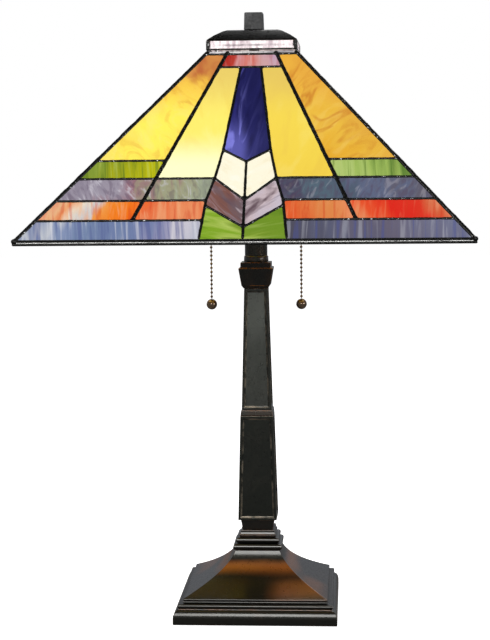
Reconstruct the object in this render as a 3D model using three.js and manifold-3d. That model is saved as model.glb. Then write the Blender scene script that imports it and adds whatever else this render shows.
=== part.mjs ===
// A table lamp with a four-sided leaded glass shade, in millimetres, +Z up.
// The origin is the centre of the underside, and the front of the lamp faces -Y.
import * as THREE from 'three';
import { mergeVertices } from 'three/addons/utils/BufferGeometryUtils.js';
import Module from 'manifold-3d';

const wasm = await Module();
wasm.setup();

// Clearances
const seatGap = 0.3; // between pieces that rest on each other
const rodGap = 0.4; // around the riser rod, on the radius
const slideGap = 0.6; // around what turns or slides inside a socket, on the radius

// Base
const plinthHalf = 80.2; // half the width across the plinth
const plinthHeight = 14.6;
const stepHalf = 75.8; // the plain step on the plinth
const stepHeight = 4.6;
const beadStepHalf = 70.8; // the step of two beads under the flare
const beadHeight = 2.4;
const flareHeight = 36.7;
const flareTopHalf = 22.3;
const flareBend = { out: 6.4, down: 17.9 }; // the curve's control point, from the flare's top edge
const baseWall = 3.5;
const plinthRoll = 5; // how far the plinth's outline rolls in above its foot
const coverThickness = 2.2;
const coverDrop = 0.8; // how far the felt stands below the plinth
const weightHeight = 13;
const weightHalf = 60.2;
const weightBore = 17; // around the nut, half the width
const inletHeight = 8; // of the lead's hole in the back of the plinth
const inletRadius = 4;

// Mouldings and column, each with its half widths and height
const lowerMoulding = { core: 21.4, bulge: 3.3, height: 6.4 };
const middleMoulding = { core: 18.9, bulge: 2.9, height: 5.6 };
const upperMoulding = { bottomHalf: 18.3, topHalf: 16.7, height: 6.6 };
const foot = { bottomHalf: 15.1, topHalf: 16.8, height: 10.2 };
const lowerColumn = { bottomHalf: 19.3, topHalf: 16.4, height: 104.9 };
const belt = { bottomHalf: 16.4, topHalf: 15.6, height: 5.6 };
const upperColumn = { bottomHalf: 15, topHalf: 11.7, height: 121.1 };
const columnWall = 2.4; // behind the sunk panels
const panelBorder = 4;
const panelDepth = 1;
const capital = {
  bottomHalf: 12, bellyHalf: 14.2, shoulderHalf: 17, stepHalf: 15,
  chamfer: 3.1, bell: 17.1, step: 5.8,
};
const neckRing = { radius: 12.4, bulge: 0.8, height: 6 };
const neckRadius = 11.25;
const neckWall = 1.5;
const neckHeight = 49.6;

// Riser rod and its fasteners
const rodRadius = 5;
const rodWall = 1.7;
const nutRadius = 9;
const nutHeight = 6;
const washerRadius = 14;
const washerHeight = 1.5;

// Lamp holders
const clusterRadius = 14;
const clusterHeight = 38;
const armRadius = 8;
const socketRise = 22; // of the socket axis above the foot of the cluster
const pullOffset = 45; // from the lamp's axis to each pull chain
const shellInset = 22.5; // from a pull in to the inner end of its socket's shell
const shellRadius = 18.5;
const shellWall = 1.2;
const capLength = 13.5; // the tapered inner end of a shell
const capEndRadius = 9;
const shellLength = 58;
const cupDepth = 21;
const bulbBaseRadius = 13.1;
const bulbRadius = 22.2;
const bulbLength = 52.2; // of the glass
const bulbGap = 1.3; // from the mouth of a shell to the bulb's glass
const bulbClearance = 21.8; // from the tip of a bulb to the glass, level with it
const drumRadius = 5;
const drumHalfWidth = 5.5;
const axleRadius = 1.5;
const axleHalfLength = 8.2;
const ferruleRadius = 4.2;
const ferruleBore = 2.6;
const ferruleReach = 26; // from the socket axis to the ferrule's mouth
const linkRadius = 1.1;
const couplingRadius = 2;
const couplingLength = 7.8;
const pullLength = 121; // from the socket axis to the middle of the ball
const beadRadius = 1.35;
const beadPitch = 4.1;
const wireRadius = 0.45;
const ballRadius = 5.35;

// Shade
const shadeHalf = 203.2; // from the axis to the glass plane at the rim line
const shadeRise = 174.8; // of the glass, from the rim line to the crown
const crownHalf = 42; // from the axis to the glass plane at the crown
const glassThickness = 3;
const leadHeight = 1.3;
const wideSeam = 4.2;
const thinSeam = 3;
const hipHalf = 3; // half the width of the seam on a hip
const hipEnds = { low: 10.7, high: 3.8 }; // clear of the rim channels and of the crown
const hipSlot = 1.8; // half the space between two panels at a hip
const channelDepth = 1.2; // from the rim line to the glass's lower edge, up the slope
const channelLip = 2.1; // of the rim channel, up the glass
const channelWall = 1;
const channelDrop = 1.7; // solder under the channel's floor
const crownFrameHalf = 44;
const crownWall = 2.8;
const crownHeight = 8.7;
const postWidth = 3.4;
const sillHeight = 1.4;
const paneThickness = 1.8;
const capHeight = 12;
const capFlare = 16; // from the cap's brim in to its flat top
const capSheet = 1.2;
const seatRadius = 12;
const seatHeight = 3;
const finialBottomHalf = 9.5;
const finialTopHalf = 9;
const finialHeight = 17.4;
const finialEdge = 0.8;
const finialHole = 9;

// The seams of one face. Heights are shares of the slope, from the rim line to the crown
const clearRow = 0.978;
const pinkRow = 0.904;
const amberRow = 0.4;
const stripRow = 0.307;
const greyRow = 0.196;
const redRow = 0.098;
const diagonalShare = 0.53; // of the face's half width at each height
const centreSeam = [
  [pinkRow, 9.7],
  [0.453, 21.7],
  [stripRow, 27.8],
  [greyRow, 34.4],
  [0, 38.8],
];
const chevrons = [
  { side: 0.453, point: 0.391 },
  { side: stripRow, point: greyRow },
  { side: 0.171, point: 0.0625 },
];

// Levels, from the table up
const plinthTop = coverDrop + plinthHeight;
const stepTop = plinthTop + stepHeight;
const flareStart = stepTop + 2 * beadHeight;
const baseTop = flareStart + flareHeight;
const stack = {};
let level = baseTop;
for (const [name, { height }] of Object.entries({
  lowerMoulding, middleMoulding, upperMoulding, foot, lowerColumn, belt, upperColumn,
  capital: { height: capital.chamfer + capital.bell + capital.step },
  neckRing, neck: { height: neckHeight }, cluster: { height: clusterHeight },
})) {
  stack[name] = level + seatGap;
  level = stack[name] + height;
}
const socketLevel = stack.cluster + socketRise;

// The slope of the shade, and the rim line that leaves room for the bulbs
const run = shadeHalf - crownHalf;
const slope = Math.atan2(shadeRise, run);
const slant = Math.hypot(run, shadeRise);
const socketStart = pullOffset - shellInset;
const socketEnd = socketStart + shellLength;
const bulbStart = socketEnd + bulbGap;
const bulbTip = bulbStart + bulbLength;
const innerHalf = shadeHalf - glassThickness / Math.sin(slope);
const rimLevel = socketLevel - (innerHalf - bulbTip - bulbClearance) * Math.tan(slope);
const glassTop = rimLevel + shadeRise;
const crownBottom = glassTop + 0.4;
const crownTop = crownBottom + crownHeight;
const capBottom = crownTop + seatGap;
const capTop = capBottom + capHeight;
const seatTop = capTop - capSheet - seatGap;
const finialBottom = capTop + seatGap;
const rodTop = finialBottom + finialHole - 2;
const rodBottom = baseTop - baseWall - washerHeight - nutHeight - 6;

// Materials
const { MeshStandardMaterial } = THREE;
const metal = (color, roughness, metalness = 1) => new MeshStandardMaterial({ color, roughness, metalness });
const glass = (color, opacity) => (
  new MeshStandardMaterial({ color, roughness: 0.15, transparent: true, opacity })
);
const bronze = metal(0x2e2a22, 0.35, 0.9);
const blackMetal = metal(0x141311, 0.4, 0.8);
const lead = metal(0x1b1b1c, 0.35, 0.9);
const brass = metal(0x9a7334, 0.3);
const steel = metal(0x8c8f92, 0.35);
const iron = metal(0x3a3836, 0.7, 0.8);
const finialMetal = metal(0x4c4c4c, 0.5, 0.8);
const stainedGlass = glass(0xf0c23c, 0.7);
const clearGlass = glass(0xf2f0ee, 0.5);
const phenolic = new MeshStandardMaterial({ color: 0x1a1715, roughness: 0.5 });
const felt = new MeshStandardMaterial({ color: 0x2b3a2c, roughness: 0.95 });

const lamp = new THREE.Group();

function add(name, geometry, material, parent = lamp) {
  const mesh = new THREE.Mesh(geometry, material);
  mesh.name = name;
  parent.add(mesh);
  return mesh;
}

function turnedGroup(angle) {
  const group = new THREE.Group();
  group.rotation.z = angle;
  lamp.add(group);
  return group;
}

// Solids from closed geometries, and back
function toSolid(geometry) {
  const bare = geometry.clone();
  bare.deleteAttribute('normal');
  bare.deleteAttribute('uv');
  const merged = mergeVertices(bare, 1e-4);
  const corners = merged.index.array;
  const kept = [];
  for (let i = 0; i < corners.length; i += 3) {
    const [a, b, c] = [corners[i], corners[i + 1], corners[i + 2]];
    if (a !== b && b !== c && c !== a) kept.push(a, b, c);
  }
  const vertProperties = Float32Array.from(merged.getAttribute('position').array);
  return new wasm.Manifold(new wasm.Mesh({ numProp: 3, vertProperties, triVerts: Uint32Array.from(kept) }));
}

function toGeometry(solid) {
  const { vertProperties, triVerts } = solid.getMesh();
  const geometry = new THREE.BufferGeometry();
  geometry.setAttribute('position', new THREE.BufferAttribute(vertProperties, 3));
  geometry.setIndex(new THREE.BufferAttribute(triVerts, 1));
  return geometry;
}

function cut(body, ...tools) {
  return toGeometry(tools.reduce((rest, tool) => rest.subtract(toSolid(tool)), toSolid(body)));
}

function join(...bodies) {
  return toGeometry(bodies.map(toSolid).reduce((whole, body) => whole.add(body)));
}

// A profile of [radius, z] points, anticlockwise, turned round the Z axis
function turned(profile, sides = 16) {
  const points = profile.map(([radius, z]) => new THREE.Vector2(radius, z));
  return new THREE.LatheGeometry(points, sides).rotateX(Math.PI / 2);
}

// The same with a square section, whose points give half widths
function squareTurned(profile) {
  const points = profile.map(([half, z]) => new THREE.Vector2(half * Math.SQRT2, z));
  return new THREE.LatheGeometry(points, 4, Math.PI / 4).rotateX(Math.PI / 2);
}

function rod(radius, bottom, top, sides = 16) {
  return turned([[0, bottom], [radius, bottom], [radius, top], [0, top]], sides);
}

function tube(outer, inner, bottom, top, sides = 16) {
  return turned([[inner, bottom], [outer, bottom], [outer, top], [inner, top], [inner, bottom]], sides);
}

// One side of a square ring: a section of [distance from the axis, z] points, mitred at both ends.
// It lies on the -Y side, and each end stops short of the mitre by the inset, measured along X
function mitred(section, inset) {
  const shape = new THREE.Shape(section.map(([reach, z]) => new THREE.Vector2(reach, z)));
  const geometry = new THREE.ExtrudeGeometry(shape, { depth: 2, bevelEnabled: false }).translate(0, 0, -1);
  const place = geometry.getAttribute('position');
  for (let i = 0; i < place.count; i += 1) {
    const [reach, z, end] = [place.getX(i), place.getY(i), place.getZ(i)];
    place.setXYZ(i, -end * (reach - inset), -reach, z);
  }
  return geometry;
}

const rodHole = (bottom, top) => rod(rodRadius + rodGap, bottom - 1, top + 1);

// A stacked piece of square section with the rod's hole through it
function drilled(profile) {
  const heights = profile.map(([, z]) => z);
  return cut(squareTurned(profile), rodHole(Math.min(...heights), Math.max(...heights)));
}

function frustum({ bottomHalf, topHalf, height }, bottom) {
  return [[0, bottom], [bottomHalf, bottom], [topHalf, bottom + height], [0, bottom + height]];
}

// A rounded square moulding
function beadProfile({ core, bulge, height }, bottom, steps = 5) {
  const outline = [[0, bottom]];
  for (let i = 0; i <= steps; i += 1) {
    const angle = Math.PI * (i / steps - 0.5);
    outline.push([core + bulge * Math.cos(angle), bottom + (height / 2) * (1 + Math.sin(angle))]);
  }
  return [...outline, [0, bottom + height]];
}

// A tapered hollow column with a sunk panel on each face
function panelledColumn({ bottomHalf, topHalf, height }, bottom) {
  const faceAt = (z) => bottomHalf + ((topHalf - bottomHalf) * (z - bottom)) / height;
  const outer = squareTurned(frustum({ bottomHalf, topHalf, height }, bottom));
  const wall = panelDepth + columnWall;
  const bore = squareTurned([
    [0, bottom - 1], [faceAt(bottom - 1) - wall, bottom - 1],
    [faceAt(bottom + height + 1) - wall, bottom + height + 1], [0, bottom + height + 1],
  ]);
  const low = bottom + panelBorder;
  const high = bottom + height - panelBorder;
  const pockets = sides().map((angle) => mitred([
    [faceAt(low) - panelDepth, low], [faceAt(low) + 1, low],
    [faceAt(high) + 1, high], [faceAt(high) - panelDepth, high],
  ], panelBorder).rotateZ(angle));
  return cut(outer, bore, ...pockets);
}

function sides() {
  return [0, 1, 2, 3].map((quarter) => (quarter * Math.PI) / 2);
}

const hollowHalf = plinthHalf - plinthRoll - baseWall;

// The hollow base casting: plinth, two steps and the concave flare
function baseCasting() {
  const flareEnd = new THREE.Vector2(flareTopHalf, baseTop);
  const bend = new THREE.Vector2(flareTopHalf + flareBend.out, baseTop - flareBend.down);
  const flareFoot = new THREE.Vector2(beadStepHalf - 1.2, flareStart);
  const flare = new THREE.QuadraticBezierCurve(flareFoot, bend, flareEnd).getPoints(7);
  const beads = [0, 1].flatMap((i) => {
    const z = stepTop + i * beadHeight;
    return [[beadStepHalf - 0.8, z], [beadStepHalf, z + 0.3 * beadHeight],
      [beadStepHalf, z + 0.7 * beadHeight], [beadStepHalf - 0.8, z + beadHeight]];
  });
  const outside = [
    [plinthHalf, coverDrop], [plinthHalf, coverDrop + 3.4], [plinthHalf - 0.8, coverDrop + 8],
    [plinthHalf - 2.6, plinthTop - 2.6], [plinthHalf - 3.4, plinthTop],
    [stepHalf, plinthTop], [stepHalf, stepTop - 0.8], [stepHalf - 0.8, stepTop],
    ...beads, ...flare.map(({ x, y }) => [x, y]),
  ];
  const inside = flare.slice(0, -1).map(({ x, y }) => [x - baseWall, y - baseWall]).reverse();
  const ceiling = baseTop - baseWall;
  const hollow = [
    [0, ceiling], [flareTopHalf - baseWall, ceiling], ...inside,
    [beadStepHalf - 1.2 - baseWall, stepTop], [hollowHalf, plinthTop - baseWall], [hollowHalf, coverDrop],
  ];
  const shell = squareTurned([...hollow, ...outside, [0, baseTop]]);
  const inlet = rod(inletRadius + seatGap, -plinthHalf - 5, -plinthHalf + 15).rotateX(Math.PI / 2);
  return cut(shell, rodHole(ceiling, baseTop), inlet.translate(0, 0, inletHeight));
}

const coverHalf = hollowHalf - seatGap;
const weightBottom = coverThickness + seatGap;
const weightTop = weightBottom + weightHeight;

add('base_casting', baseCasting(), bronze);
add('base_cover', squareTurned([
  [0, 0], [coverHalf, 0], [coverHalf, coverThickness], [0, coverThickness],
]), felt);
add('base_weight', squareTurned([
  [weightBore, weightBottom], [weightHalf, weightBottom], [weightHalf - 6, weightTop],
  [weightBore, weightTop], [weightBore, weightBottom],
]), iron);
const washerBottom = baseTop - baseWall - seatGap - washerHeight;
add('lock_washer', tube(washerRadius, rodRadius + rodGap, washerBottom, washerBottom + washerHeight), steel);
const nutTop = washerBottom - seatGap;
const nutBottom = nutTop - nutHeight;
add('lock_nut', cut(rod(nutRadius, nutBottom, nutTop, 6), rodHole(nutBottom, nutTop)), brass);
add('cord_bushing', turned([
  [inletRadius - 1.4, 0], [inletRadius, 0], [inletRadius, 10.5], [inletRadius + 2.4, 11.2],
  [inletRadius + 2.4, 13.2], [inletRadius - 1.4, 13.2], [inletRadius - 1.4, 0],
], 12).rotateX(-Math.PI / 2).translate(0, plinthHalf - 10.6, inletHeight), phenolic);

add('lower_moulding', drilled(beadProfile(lowerMoulding, stack.lowerMoulding)), bronze);
add('middle_moulding', drilled(beadProfile(middleMoulding, stack.middleMoulding)), bronze);
add('upper_moulding', drilled([
  [0, stack.upperMoulding], [upperMoulding.bottomHalf, stack.upperMoulding],
  [upperMoulding.bottomHalf, stack.upperMoulding + 2.2],
  [upperMoulding.topHalf + 0.3, stack.upperMoulding + 4.6],
  [upperMoulding.topHalf, stack.upperMoulding + upperMoulding.height],
  [0, stack.upperMoulding + upperMoulding.height],
]), bronze);
add('column_foot', drilled(frustum(foot, stack.foot)), bronze);
add('lower_column', panelledColumn(lowerColumn, stack.lowerColumn), bronze);
add('column_belt', drilled(frustum(belt, stack.belt)), bronze);
add('upper_column', panelledColumn(upperColumn, stack.upperColumn), bronze);

const shoulder = stack.capital + capital.chamfer + capital.bell;
add('capital', drilled([
  [0, stack.capital], [capital.bottomHalf, stack.capital],
  [capital.bellyHalf, stack.capital + capital.chamfer], [capital.shoulderHalf, shoulder],
  [capital.stepHalf, shoulder], [capital.stepHalf, shoulder + capital.step], [0, shoulder + capital.step],
]), bronze);

const ringHole = rodRadius + rodGap;
const ringTop = stack.neckRing + neckRing.height;
add('neck_ring', turned([
  [ringHole, stack.neckRing], [neckRing.radius, stack.neckRing],
  [neckRing.radius + neckRing.bulge, stack.neckRing + neckRing.height * 0.35],
  [neckRing.radius + neckRing.bulge, stack.neckRing + neckRing.height * 0.65],
  [neckRing.radius, ringTop], [ringHole, ringTop], [ringHole, stack.neckRing],
], 20), bronze);
add('neck_tube', tube(neckRadius, neckRadius - neckWall, stack.neck, stack.neck + neckHeight, 20), bronze);

add('riser_rod', turned([
  [0, socketLevel], [rodRadius - rodWall, socketLevel], [rodRadius - rodWall, rodBottom],
  [rodRadius, rodBottom], [rodRadius, rodTop], [0, rodTop],
]), steel);

// Lamp holders: a cluster body with an arm to each side
const armEnd = socketStart - seatGap;
const clusterTop = stack.cluster + clusterHeight;
const clusterBody = rod(clusterRadius, stack.cluster, clusterTop, 20);
const arms = rod(armRadius, -armEnd, armEnd, 12).rotateY(Math.PI / 2).translate(0, 0, socketLevel);
add('cluster_body', cut(join(clusterBody, arms), rodHole(stack.cluster, clusterTop)), blackMetal);

// A piece turned round the socket axis, whose profile runs outwards along X
const along = (geometry) => geometry.rotateY(Math.PI / 2);

function socketShell() {
  const taperEnd = socketStart + capLength;
  const inner = shellRadius - shellWall;
  const shell = along(turned([
    [ferruleBore, socketStart], [capEndRadius, socketStart], [shellRadius, taperEnd],
    [shellRadius, socketEnd], [inner, socketEnd], [inner, taperEnd + shellWall / 2],
    [capEndRadius - shellWall, socketStart + shellWall],
    [ferruleBore, socketStart + shellWall], [ferruleBore, socketStart],
  ]));
  const ferrule = rod(ferruleRadius, -ferruleReach, -inner - shellWall / 2, 12).translate(pullOffset, 0, 0);
  const bore = rod(ferruleBore, -ferruleReach - 1, -inner + 2, 12).translate(pullOffset, 0, 0);
  return cut(join(shell, ferrule), bore);
}

const drumCentre = pullOffset + linkRadius + seatGap + drumRadius;
const slotEnd = drumCentre + drumRadius + 0.5;
const cupStart = slotEnd + 1.5;
const coreEnd = cupStart + cupDepth;

function socketCore() {
  const start = socketStart + capLength + 1.5;
  const radius = shellRadius - shellWall - rodGap;
  const body = along(rod(radius, start, coreEnd));
  const cup = along(rod(bulbBaseRadius + slideGap, cupStart, coreEnd + 1));
  const slotStart = pullOffset - linkRadius - slideGap - 2;
  const slotHeight = radius + 1 + drumRadius + slideGap;
  const slot = new THREE.BoxGeometry(slotEnd - slotStart, 2 * (drumHalfWidth + slideGap), slotHeight);
  slot.translate((slotStart + slotEnd) / 2, 0, drumRadius + slideGap - slotHeight / 2);
  const reach = axleHalfLength + slideGap;
  const axleHole = rod(axleRadius + seatGap, -reach, reach, 12).rotateX(Math.PI / 2);
  return cut(body, cup, slot, axleHole.translate(drumCentre, 0, 0));
}

const drum = () => turned([
  [0, -axleHalfLength], [axleRadius, -axleHalfLength], [axleRadius, -drumHalfWidth],
  [drumRadius, -drumHalfWidth], [drumRadius, drumHalfWidth], [axleRadius, drumHalfWidth],
  [axleRadius, axleHalfLength], [0, axleHalfLength],
], 12).rotateX(Math.PI / 2).translate(drumCentre, 0, 0);

function bulbGlass() {
  const neck = bulbBaseRadius - 0.8;
  const centre = bulbTip - bulbRadius;
  const outline = [[0, bulbStart], [neck, bulbStart], [neck + 0.6, bulbStart + 3]];
  for (let i = 0; i <= 8; i += 1) {
    const angle = Math.PI * (0.72 - 0.72 * (i / 8));
    outline.push([bulbRadius * Math.sin(angle), centre + bulbRadius * Math.cos(angle)]);
  }
  return along(turned(outline, 14));
}

const bulbBase = () => along(turned([
  [0, cupStart + 0.7], [4, cupStart + 0.7], [5, cupStart + 2.2], [bulbBaseRadius - 1.5, cupStart + 4],
  [bulbBaseRadius, cupStart + 6], [bulbBaseRadius, bulbStart - seatGap], [0, bulbStart - seatGap],
], 14));

// What hangs from a socket, measured down from its axis
const linkEnd = ferruleReach + 2.7;
const couplingStart = linkEnd + seatGap;
const couplingEnd = couplingStart + couplingLength;
const chainStart = couplingEnd + seatGap;
const chainEnd = pullLength - ballRadius - seatGap;

const pullLink = () => turned([
  [0, -linkEnd], [0.4, -linkEnd], [linkRadius, -linkEnd + 1.5], [linkRadius, 1], [0, 1],
], 8);

const pullCoupling = () => turned([
  [0, -couplingEnd], [0.4, -couplingEnd], [couplingRadius, -couplingEnd + 2.2],
  [couplingRadius, -couplingStart - 2.2], [0.4, -couplingStart], [0, -couplingStart],
], 8);

function beadChain() {
  const count = Math.round((chainEnd - chainStart) / beadPitch);
  const pitch = (chainEnd - chainStart) / count;
  const outline = [[0, -chainEnd], [wireRadius, -chainEnd]];
  for (let i = 0; i < count; i += 1) {
    const middle = -chainEnd + pitch * (i + 0.5);
    outline.push(
      [wireRadius, middle - beadRadius], [beadRadius, middle - beadRadius * 0.4],
      [beadRadius, middle + beadRadius * 0.4], [wireRadius, middle + beadRadius],
    );
  }
  return turned([...outline, [wireRadius, -chainStart], [0, -chainStart]], 6);
}

for (const [side, angle] of [['right', 0], ['left', Math.PI]]) {
  const group = turnedGroup(angle);
  group.position.z = socketLevel;
  const hanging = (geometry) => geometry.translate(pullOffset, 0, 0);
  add(`socket_shell_${side}`, socketShell(), brass, group);
  add(`socket_core_${side}`, socketCore(), phenolic, group);
  add(`switch_drum_${side}`, drum(), brass, group);
  add(`bulb_glass_${side}`, bulbGlass(), clearGlass, group);
  add(`bulb_base_${side}`, bulbBase(), steel, group);
  add(`pull_link_${side}`, hanging(pullLink()), brass, group);
  add(`pull_coupling_${side}`, hanging(pullCoupling()), brass, group);
  add(`pull_chain_${side}`, hanging(beadChain()), brass, group);
  const ball = new THREE.SphereGeometry(ballRadius, 12, 8).rotateX(Math.PI / 2).translate(0, 0, -pullLength);
  add(`pull_ball_${side}`, hanging(ball), brass, group);
}

// The shade. On one face, a point is given by its way up the slope and its height over the glass plane
const facePoint = (up, over) => [
  shadeHalf - up * Math.cos(slope) + over * Math.sin(slope),
  rimLevel + up * Math.sin(slope) + over * Math.cos(slope),
];
const halfAt = (share) => shadeHalf - run * share;

const hipAngle = Math.atan2(slant, run); // between a hip and the rim, in the face
const halfDihedral = (Math.PI - Math.acos(Math.cos(slope) ** 2)) / 2;
const hipInset = hipSlot * Math.SQRT2;

function glassPanel() {
  return mitred([
    facePoint(channelDepth, -glassThickness), facePoint(channelDepth, 0),
    facePoint(slant, 0), facePoint(slant, -glassThickness),
  ], hipInset);
}

function rimChannel() {
  const floor = channelDepth - seatGap;
  const under = facePoint(floor, -glassThickness - seatGap)[1] - channelWall - channelDrop;
  const inner = -glassThickness - seatGap - channelWall;
  return mitred([
    [facePoint(floor, inner)[0] + 1, under], [shadeHalf + 0.7, under], [shadeHalf + 1.1, under + 1.2],
    facePoint(channelLip, channelWall + 0.2), facePoint(channelLip, seatGap), facePoint(floor, seatGap),
    facePoint(floor, -glassThickness - seatGap), facePoint(channelLip, -glassThickness - seatGap),
    facePoint(channelLip, inner),
  ], seatGap / 2);
}

// A straight seam between two points of the face, each [distance from the middle, share of the slope]
function seam([x1, share1], [x2, share2], width) {
  const [y1, y2] = [share1 * slant, share2 * slant];
  const length = Math.hypot(x2 - x1, y2 - y1);
  const bar = new THREE.BoxGeometry(length, width, leadHeight).rotateZ(Math.atan2(y2 - y1, x2 - x1));
  return bar.translate((x1 + x2) / 2, (y1 + y2) / 2, seatGap + leadHeight / 2);
}

function leading() {
  const lap = (hipHalf / Math.sin(halfDihedral) + 0.9) / Math.sin(hipAngle) + thinSeam / Math.tan(hipAngle);
  const hipAt = (share) => halfAt(share) - lap;
  const diagonalAt = (share) => halfAt(share) * diagonalShare;
  const centreAt = (share) => {
    const i = Math.max(1, centreSeam.findIndex(([height]) => height <= share));
    const [[high, start], [low, end]] = [centreSeam[i - 1], centreSeam[i]];
    return start + ((end - start) * (high - share)) / (high - low);
  };
  const rimShare = (channelLip + 0.6) / slant;
  const topShare = 1 - 2.5 / slant;
  const lower = [...centreSeam.slice(0, -1).map(([share, x]) => [x, share]), [centreAt(rimShare), rimShare]];
  const bars = [
    seam([-hipAt(clearRow), clearRow], [hipAt(clearRow), clearRow], thinSeam),
    seam([-diagonalAt(pinkRow), pinkRow], [diagonalAt(pinkRow), pinkRow], thinSeam),
    seam([0, chevrons[0].point], [0, rimShare], thinSeam),
  ];
  for (const side of [-1, 1]) {
    const line = ([x1, share1], [x2, share2], width = thinSeam) => {
      bars.push(seam([side * x1, share1], [side * x2, share2], width));
    };
    line([diagonalAt(topShare), topShare], [diagonalAt(redRow), redRow], wideSeam);
    line([diagonalAt(amberRow), amberRow], [hipAt(amberRow), amberRow]);
    for (const row of [stripRow, greyRow, redRow]) line([centreAt(row), row], [hipAt(row), row]);
    for (let i = 1; i < lower.length; i += 1) line(lower[i - 1], lower[i]);
    for (const chevron of chevrons) line([centreAt(chevron.side), chevron.side], [0, chevron.point]);
  }
  return join(...bars);
}

// The seam on the hip between the front and right faces: a round head over the glass, and a stem
// between the panels
function hipSeam() {
  const under = (v) => -v / Math.tan(halfDihedral) + seatGap + 0.1;
  const stem = hipSlot - seatGap - 0.1;
  const half = [[1.5, 0.9], [2.6, -0.3], [hipHalf, under(hipHalf)], [stem, under(stem)], [stem, -3.4]];
  const section = [[0, 1.3], ...half, ...half.map(([v, u]) => [-v, u]).reverse()];
  const shape = new THREE.Shape(section.map(([v, u]) => new THREE.Vector2(v, u)));
  const out = new THREE.Vector3(1, -1, 0).normalize();
  const up = new THREE.Vector3(0, 0, 1);
  const hip = out.clone().multiplyScalar(-run * Math.SQRT2).addScaledVector(up, shadeRise);
  const length = hip.length();
  hip.normalize();
  const across = new THREE.Vector3().crossVectors(out, up).normalize();
  const outward = new THREE.Vector3().crossVectors(hip, across);
  const depth = length - hipEnds.low - hipEnds.high;
  const foot = out.clone().multiplyScalar(shadeHalf * Math.SQRT2).addScaledVector(up, rimLevel);
  const place = new THREE.Matrix4().makeBasis(across, outward, hip);
  place.setPosition(foot.addScaledVector(hip, hipEnds.low));
  return new THREE.ExtrudeGeometry(shape, { depth, bevelEnabled: false }).applyMatrix4(place);
}

function crownFrame() {
  const inner = crownFrameHalf - crownWall;
  const ring = squareTurned([
    [inner, crownBottom], [crownFrameHalf, crownBottom], [crownFrameHalf, crownTop], [inner, crownTop],
    [inner, crownBottom],
  ]);
  const sill = crownBottom + sillHeight;
  const windows = sides().map((angle) => mitred([
    [inner - 1, sill], [crownFrameHalf + 1, sill],
    [crownFrameHalf + 1, crownTop + 1], [inner - 1, crownTop + 1],
  ], postWidth).rotateZ(angle));
  return cut(ring, ...windows);
}

function crystalPane() {
  const outer = crownFrameHalf - 0.6;
  const [low, high] = [crownBottom + sillHeight + seatGap, crownTop];
  return mitred([
    [outer - paneThickness, low], [outer, low], [outer, high], [outer - paneThickness, high],
  ], postWidth + seatGap);
}

function shadeCap() {
  const brim = crownFrameHalf - 0.4;
  const flat = brim - capFlare;
  const outside = [
    [brim, capBottom], [brim, capBottom + 0.8], [brim - 7, capBottom + 6],
    [flat, capTop - 1.4], [flat - 3, capTop - 0.4], [0, capTop],
  ];
  const inside = [
    [0, capTop - capSheet], [flat - 3, capTop - 0.4 - capSheet], [flat - 0.8, capTop - 1.4 - capSheet],
    [brim - 7.6, capBottom + 5.2], [brim - 1.4, capBottom],
  ];
  return cut(squareTurned([...inside, ...outside]), rodHole(capBottom, capTop));
}

const faces = ['front', 'right', 'back', 'left'];
const corners = ['front_right', 'back_right', 'back_left', 'front_left'];
faces.forEach((face, quarter) => {
  const group = turnedGroup((quarter * Math.PI) / 2);
  add(`glass_${face}`, glassPanel(), stainedGlass, group);
  add(`rim_${face}`, rimChannel(), lead, group);
  add(`crystal_${face}`, crystalPane(), clearGlass, group);
  add(`hip_${corners[quarter]}`, hipSeam(), lead, group);
  const tilted = new THREE.Group();
  tilted.position.set(0, -shadeHalf, rimLevel);
  tilted.rotation.x = slope;
  group.add(tilted);
  add(`leading_${face}`, leading(), lead, tilted);
});
add('crown_frame', crownFrame(), lead);
add('shade_cap', shadeCap(), blackMetal);
add('cap_seat', tube(seatRadius, rodRadius + rodGap, seatTop - seatHeight, seatTop), brass);

// The finial, with a blind hole for the end of the rod
add('finial', cut(squareTurned([
  [0, finialBottom], [finialBottomHalf, finialBottom],
  [finialTopHalf, finialBottom + finialHeight - finialEdge],
  [finialTopHalf - finialEdge, finialBottom + finialHeight], [0, finialBottom + finialHeight],
]), rod(rodRadius + rodGap, finialBottom - 1, finialBottom + finialHole, 12)), finialMetal);

export default lamp;
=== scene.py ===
import math
import random

import bmesh
import bpy
from mathutils import Matrix, Vector, noise


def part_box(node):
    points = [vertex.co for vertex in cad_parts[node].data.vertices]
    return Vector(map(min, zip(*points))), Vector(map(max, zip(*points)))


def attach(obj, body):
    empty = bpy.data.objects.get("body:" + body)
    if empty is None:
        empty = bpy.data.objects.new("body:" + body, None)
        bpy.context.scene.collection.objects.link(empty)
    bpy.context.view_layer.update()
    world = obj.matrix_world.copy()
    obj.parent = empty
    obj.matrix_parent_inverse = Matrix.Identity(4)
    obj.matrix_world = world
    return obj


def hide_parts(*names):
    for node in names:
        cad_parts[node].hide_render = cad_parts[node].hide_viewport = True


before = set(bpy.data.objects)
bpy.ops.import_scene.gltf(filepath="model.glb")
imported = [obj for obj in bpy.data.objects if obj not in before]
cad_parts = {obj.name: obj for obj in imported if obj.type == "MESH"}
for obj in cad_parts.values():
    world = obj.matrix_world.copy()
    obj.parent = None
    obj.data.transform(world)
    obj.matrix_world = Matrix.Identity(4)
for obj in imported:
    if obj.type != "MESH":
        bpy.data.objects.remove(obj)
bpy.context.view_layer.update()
random.seed(7)

# camera

cameraSettings = {
    "place": (0.0955, -1.6372, 0.4515),
    "heading": 3.75,  # degrees towards -X
    "down": 5.56,
    "roll": -0.56,
    "lens": 92.4,
    "sensor": 36,
}


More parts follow.
